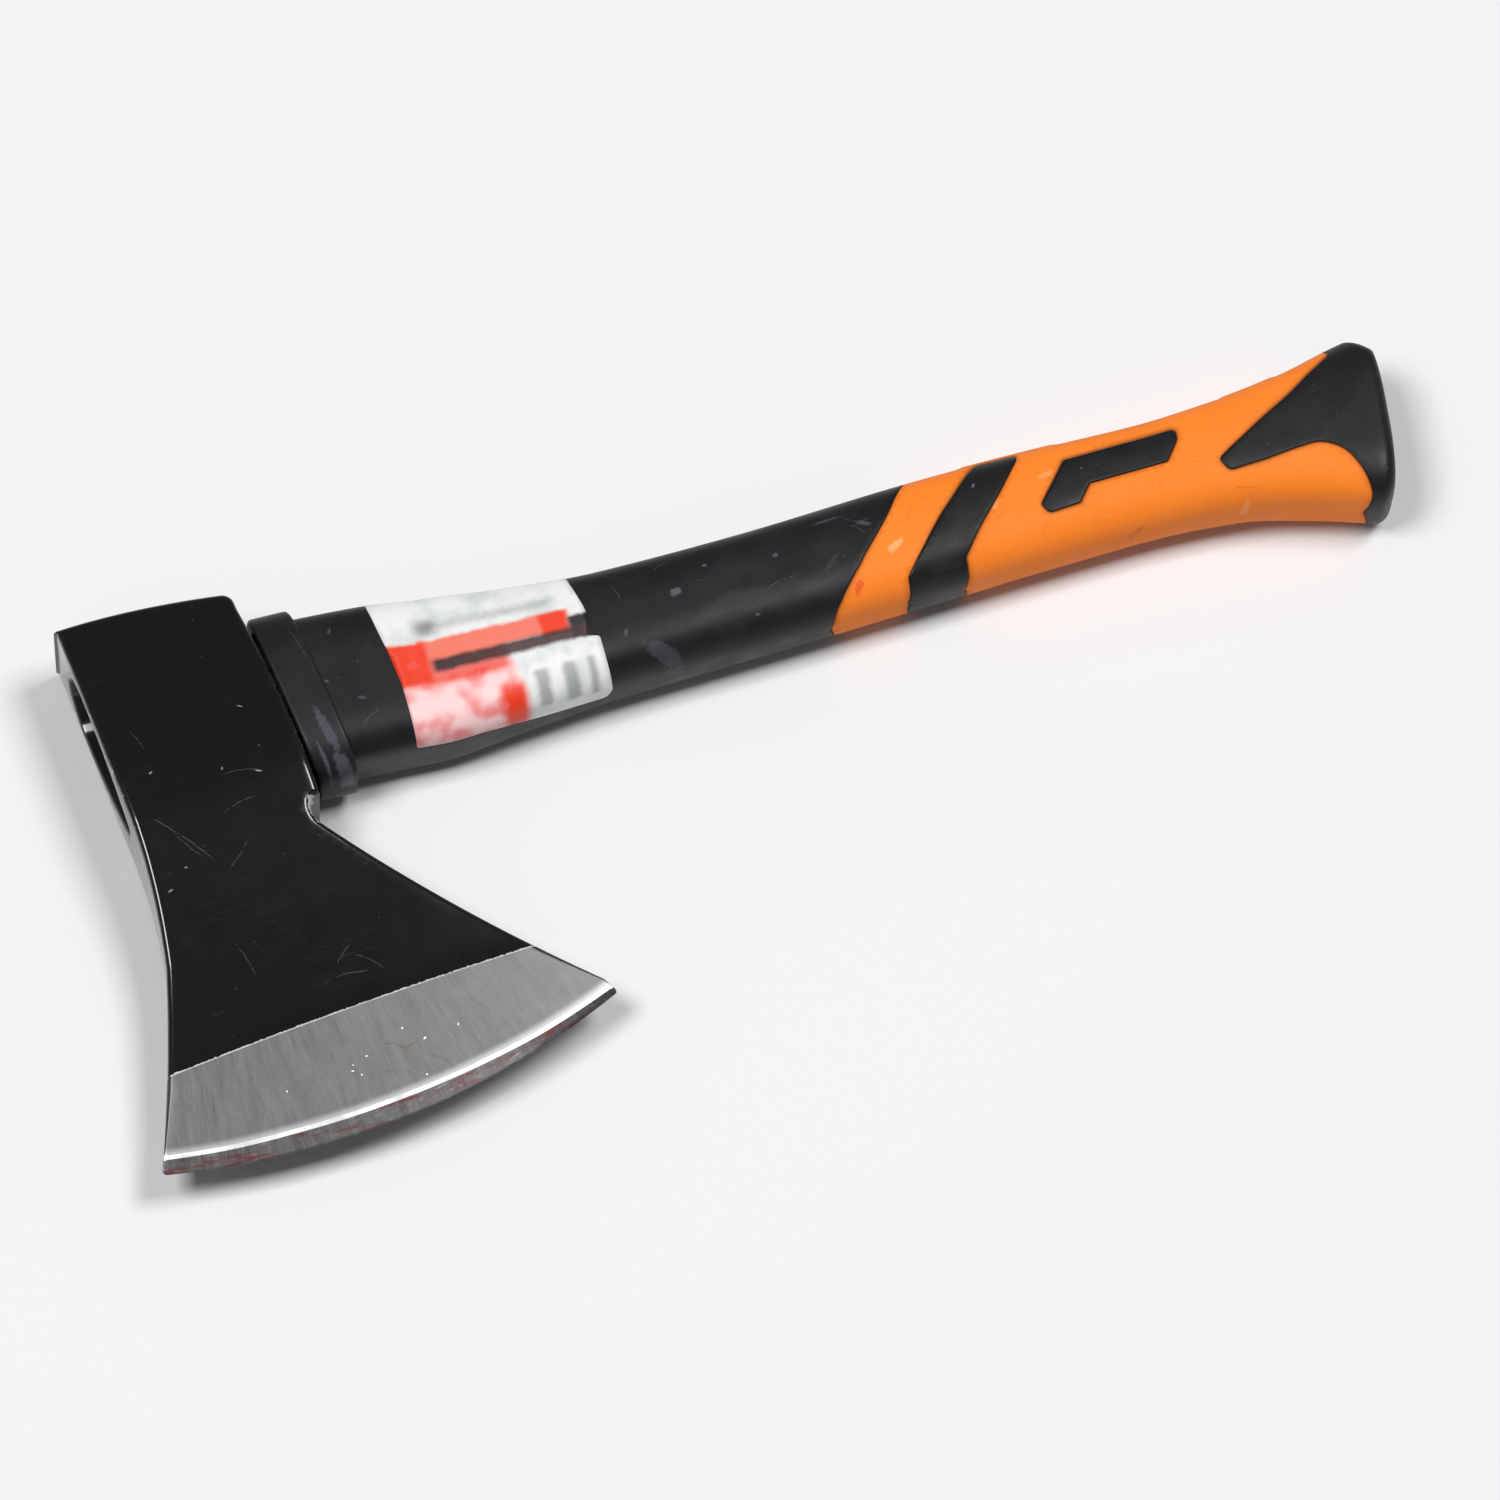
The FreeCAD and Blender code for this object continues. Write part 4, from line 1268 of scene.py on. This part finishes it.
def rubber_material():
    """Soft orange rubber, matt, with slight mottling, scuffs and hairline marks."""
    s = Shader("grip_rubber", Base_Color=(0.92, 0.18, 0.016, 1), Roughness=0.55,
               Specular_IOR_Level=0.16)
    cloud = s.noise(s.place, 0.04, 4.0)
    colour = s.blend(cloud, (0.85, 0.187, 0.012, 1), (0.90, 0.237, 0.026, 1))
    fleck = s.patches(0.5, 5.0, 0.56, 0.72, 0.7)
    colour = s.over(colour, fleck, 0.18, (0.97, 0.34, 0.10, 1))
    for x, y, length, width, turn, strength, tint in GRIP_MARKS:
        colour = s.over(colour, s.mark(x, y, length, width, turn), strength, tint)
    lines = s.most([s.scratch((a, b), (c, d), 0.13, 0.4) for a, b, c, d in GRIP_SCRATCHES])
    colour = s.over(colour, lines, 0.55, (0.55, 0.06, 0.012, 1))
    dust = s.specks(0.16, 0.045)
    colour = s.over(colour, dust, 0.4, (0.30, 0.05, 0.012, 1))
    dirt = s.attribute("seam")
    s.set("Base Color", s.blend(s.times(dirt, 0.85), colour, (0.05, 0.012, 0.004, 1)))
    s.set("Roughness", s.clouds(0.1, 5.0, 0.50, 0.64))
    height = s.add(s.noise(s.place, 1.2, 3.0), s.times(lines, -0.8))
    s.set("Normal", s.bump(height, 0.12, 0.1))
    return s.material


def label_material():
    """Plain printed blocks without any lettering, mapped over the film's face."""
    s = Shader("label_print", Base_Color=(0.8, 0.8, 0.8, 1), Roughness=0.42)
    waver = s.minus(s.noise(s.place, 0.30, 3.0), 0.5)
    across, along, _ = s.parts(s.uv("print"))
    along = s.add(along, s.times(waver, 0.035))
    across = s.add(across, s.times(waver, 0.02))

    def span(value, start, end, soft):
        return s.times(s.ramp(value, start - soft, start + soft),
                       s.ramp(value, end - soft, end + soft, 1, 0))

    def block(left, right, top, low, soft):
        return s.times(span(across, left, right, soft), span(along, top, low, soft))

    red = (0.76, 0.036, 0.004, 1)
    pink = s.blend(s.patches(0.16, 1.5, 0.42, 0.70, 0.4), (0.86, 0.56, 0.55, 1),
                   (0.78, 0.22, 0.22, 1))
    dark = s.blend(s.ramp(across, 0.25, 0.60), grey(0.010), (0.045, 0.014, 0.012, 1))
    grime = s.ramp(s.noise(s.place, 0.10, 1.0), 0.30, 0.75, 0.45, 0.85)
    colour = s.blend(s.patches(0.12, 4.0, 0.4, 0.7), grey(0.75, (1, 1.02, 0.99)),
                     grey(0.60, (0.98, 1.02, 0.99)))
    blocks = (               # left, right, top, low, softness, strength, colour
        (0.26, 0.82, 0.19, 0.225, 0.035, grime, grey(0.19, (0.94, 1.0, 0.98))),
        (0.18, 0.28, 0.17, 0.25, 0.04, 0.75, grey(0.15)),
        (-0.1, 0.585, 0.56, 1.2, 0.022, 1.0, pink),
        (-0.1, 0.56, 0.40, 0.61, 0.03, 0.85, red),
        (0.48, 0.60, 0.69, 0.96, 0.03, 1.0, red),
        (0.18, 0.88, 0.285, 0.435, 0.018, 1.0, (0.80, 0.17, 0.115, 1)),
        (0.74, 0.865, 0.285, 0.465, 0.018, 1.0, red),
        (-0.1, 0.20, 0.29, 0.585, 0.018, 1.0, red),
        (0.87, 1.1, 0.35, 0.53, 0.018, 1.0, grey(0.012)),
        (0.215, 0.99, 0.43, 0.525, 0.022, 0.96, dark),
    )
    for left, right, top, low, soft, strength, tint in blocks:
        colour = s.over(colour, block(left, right, top, low, soft), strength, tint)
    bars = s.most([block(0.655, 0.715, 0.66, 0.86, 0.02), block(0.785, 0.85, 0.66, 0.88, 0.02),
                   block(0.905, 0.94, 0.66, 0.90, 0.02)])
    colour = s.over(colour, bars, 0.75, grey(0.23, (0.98, 1.0, 1.04)))
    rubbed = s.patches(0.16, 6.0, 0.60, 0.72, 0.7)
    s.set("Base Color", s.blend(s.times(rubbed, 0.07), colour, grey(0.7)))
    s.set("Roughness", s.clouds(0.2, 4.0, 0.36, 0.50))
    s.set("Normal", s.bump(s.noise(s.place, 0.35, 4.0), 0.15, 0.25))
    return s.material


def adhesive_material():
    """Black cast adhesive, uneven and glossy, with a light fleck or two."""
    s = Shader("adhesive", Base_Color=grey(0.01), Roughness=0.25)
    cloud = s.noise(s.place, 0.3, 4.0)
    colour = s.blend(cloud, grey(0.005), grey(0.018, (1.0, 0.98, 0.94)))
    s.set("Base Color", s.blend(s.times(s.specks(0.35, 0.10), 0.7), colour, grey(0.35)))
    s.set("Roughness", s.ramp(cloud, 0.3, 0.7, 0.18, 0.45))
    s.set("Normal", s.bump(s.noise(s.place, 0.8, 4.0, 0.6), 0.4, 0.4))
    return s.material


def glass_fibre_material():
    """Straw-coloured rod with its fibres along the handle."""
    s = Shader("glass_fibre", Base_Color=(0.75, 0.68, 0.42, 1), Roughness=0.45)
    fibres = s.noise(s.stretched(s.place, (0.05, 2.0, 2.0)), 1.0, 3.0)
    s.set("Base Color", s.blend(fibres, (0.62, 0.55, 0.32, 1), (0.85, 0.80, 0.55, 1)))
    s.set("Roughness", s.ramp(fibres, 0.3, 0.7, 0.38, 0.55))
    s.set("Normal", s.bump(fibres, 0.3, 0.1))
    return s.material


# ---------------------------------------------------------------------------
# Stage
# ---------------------------------------------------------------------------
def add_softbox(name, place, power):
    """A square studio light aimed at the object."""
    light = bpy.data.lights.new(name, "AREA")
    light.energy = power
    light.size = 0.8
    lamp = bpy.data.objects.new(name, light)
    lamp.location = place
    lamp.rotation_euler = (-Vector(place)).to_track_quat("-Z", "Y").to_euler()
    bpy.context.scene.collection.objects.link(lamp)


def make_stage():
    bpy.ops.mesh.primitive_plane_add(size=6.0, location=(0, 0, -0.0002))
    floor = bpy.context.object
    floor.name = "floor"
    s = Shader("floor_paper", Base_Color=(0.75, 0.757, 0.765, 1), Roughness=0.7)
    s.set("Normal", s.bump(s.noise(s.place, 0.02, 2.0), 0.02, 0.5))
    floor.data.materials.append(s.material)

    world = bpy.data.worlds.new("studio")
    world.use_nodes = True
    tree = world.node_tree
    towards = add_node(tree, "TexCoord").outputs["Generated"]
    height = add_node(tree, "SeparateXYZ", {0: towards}).outputs["Z"]
    fade = add_node(tree, "MapRange", {
        "Value": height, "From Min": 0.35, "From Max": 0.95, "To Min": 0.24, "To Max": 0.10,
    }, interpolation_type="SMOOTHSTEP")
    background = tree.nodes["Background"]
    feed(tree, background.inputs["Color"], (0.93, 0.96, 1.0, 1))
    feed(tree, background.inputs["Strength"], fade.outputs["Result"])
    bpy.context.scene.world = world

    add_softbox("right", (0.98, 0.04, 2.30), 35.5)
    add_softbox("left", (-1.02, 0.04, 2.25), 36.5)
    bpy.context.scene.view_settings.view_transform = "Standard"


VIEW_DOWN = math.radians(66.0)
VIEW_TURN = math.radians(21.4)
VIEW_ROLL = math.radians(5.73)
VIEW_DISTANCE = 2387.9
LENS = 216.0
LOOK_AT = (170.8, -75.6, 0.0)


def make_camera():
    """A long lens, turned, tipped and rolled to the photograph's view."""
    camera = bpy.data.cameras.new("camera")
    camera.sensor_width = 36.0
    camera.lens = LENS
    camera.clip_start = 0.05
    rig = bpy.data.objects.new("camera", camera)
    bpy.context.scene.collection.objects.link(rig)
    forward = Vector((math.sin(VIEW_TURN) * math.cos(VIEW_DOWN),
                      math.cos(VIEW_TURN) * math.cos(VIEW_DOWN), -math.sin(VIEW_DOWN)))
    right = Vector((math.cos(VIEW_TURN), -math.sin(VIEW_TURN), 0))
    up = right.cross(forward)
    side = right * math.cos(VIEW_ROLL) + up * math.sin(VIEW_ROLL)
    top = up * math.cos(VIEW_ROLL) - right * math.sin(VIEW_ROLL)
    target = Vector(to_metres([LOOK_AT])[0])
    turn = Matrix((side, top, -forward)).transposed().to_4x4()
    rig.matrix_world = Matrix.Translation(target - forward * VIEW_DISTANCE * MM) @ turn
    bpy.context.scene.camera = rig


make_camera()
make_stage()

head = make_head()
for material in head_materials():
    head.data.materials.append(material)
ride(head, "head_steel")
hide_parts("axe_head")

sheet = Skin()
jacket = make_jacket(sheet)
jacket.data.materials.append(plastic_material())
ride(jacket, "jacket_plastic")
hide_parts("handle_jacket")

grip = make_grip(sheet)
grip.data.materials.append(rubber_material())
ride(grip, "grip_rubber")
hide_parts("grip_overmould")

label = make_label()
label.data.materials.append(label_material())
ride(label, "label_print")
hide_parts("label_film")

eye_fill = make_eye_fill()
eye_fill.data.materials.append(adhesive_material())
ride(eye_fill, "adhesive")
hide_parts("eye_adhesive")

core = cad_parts["core_rod"]
core.data.materials.clear()
core.data.materials.append(glass_fibre_material())
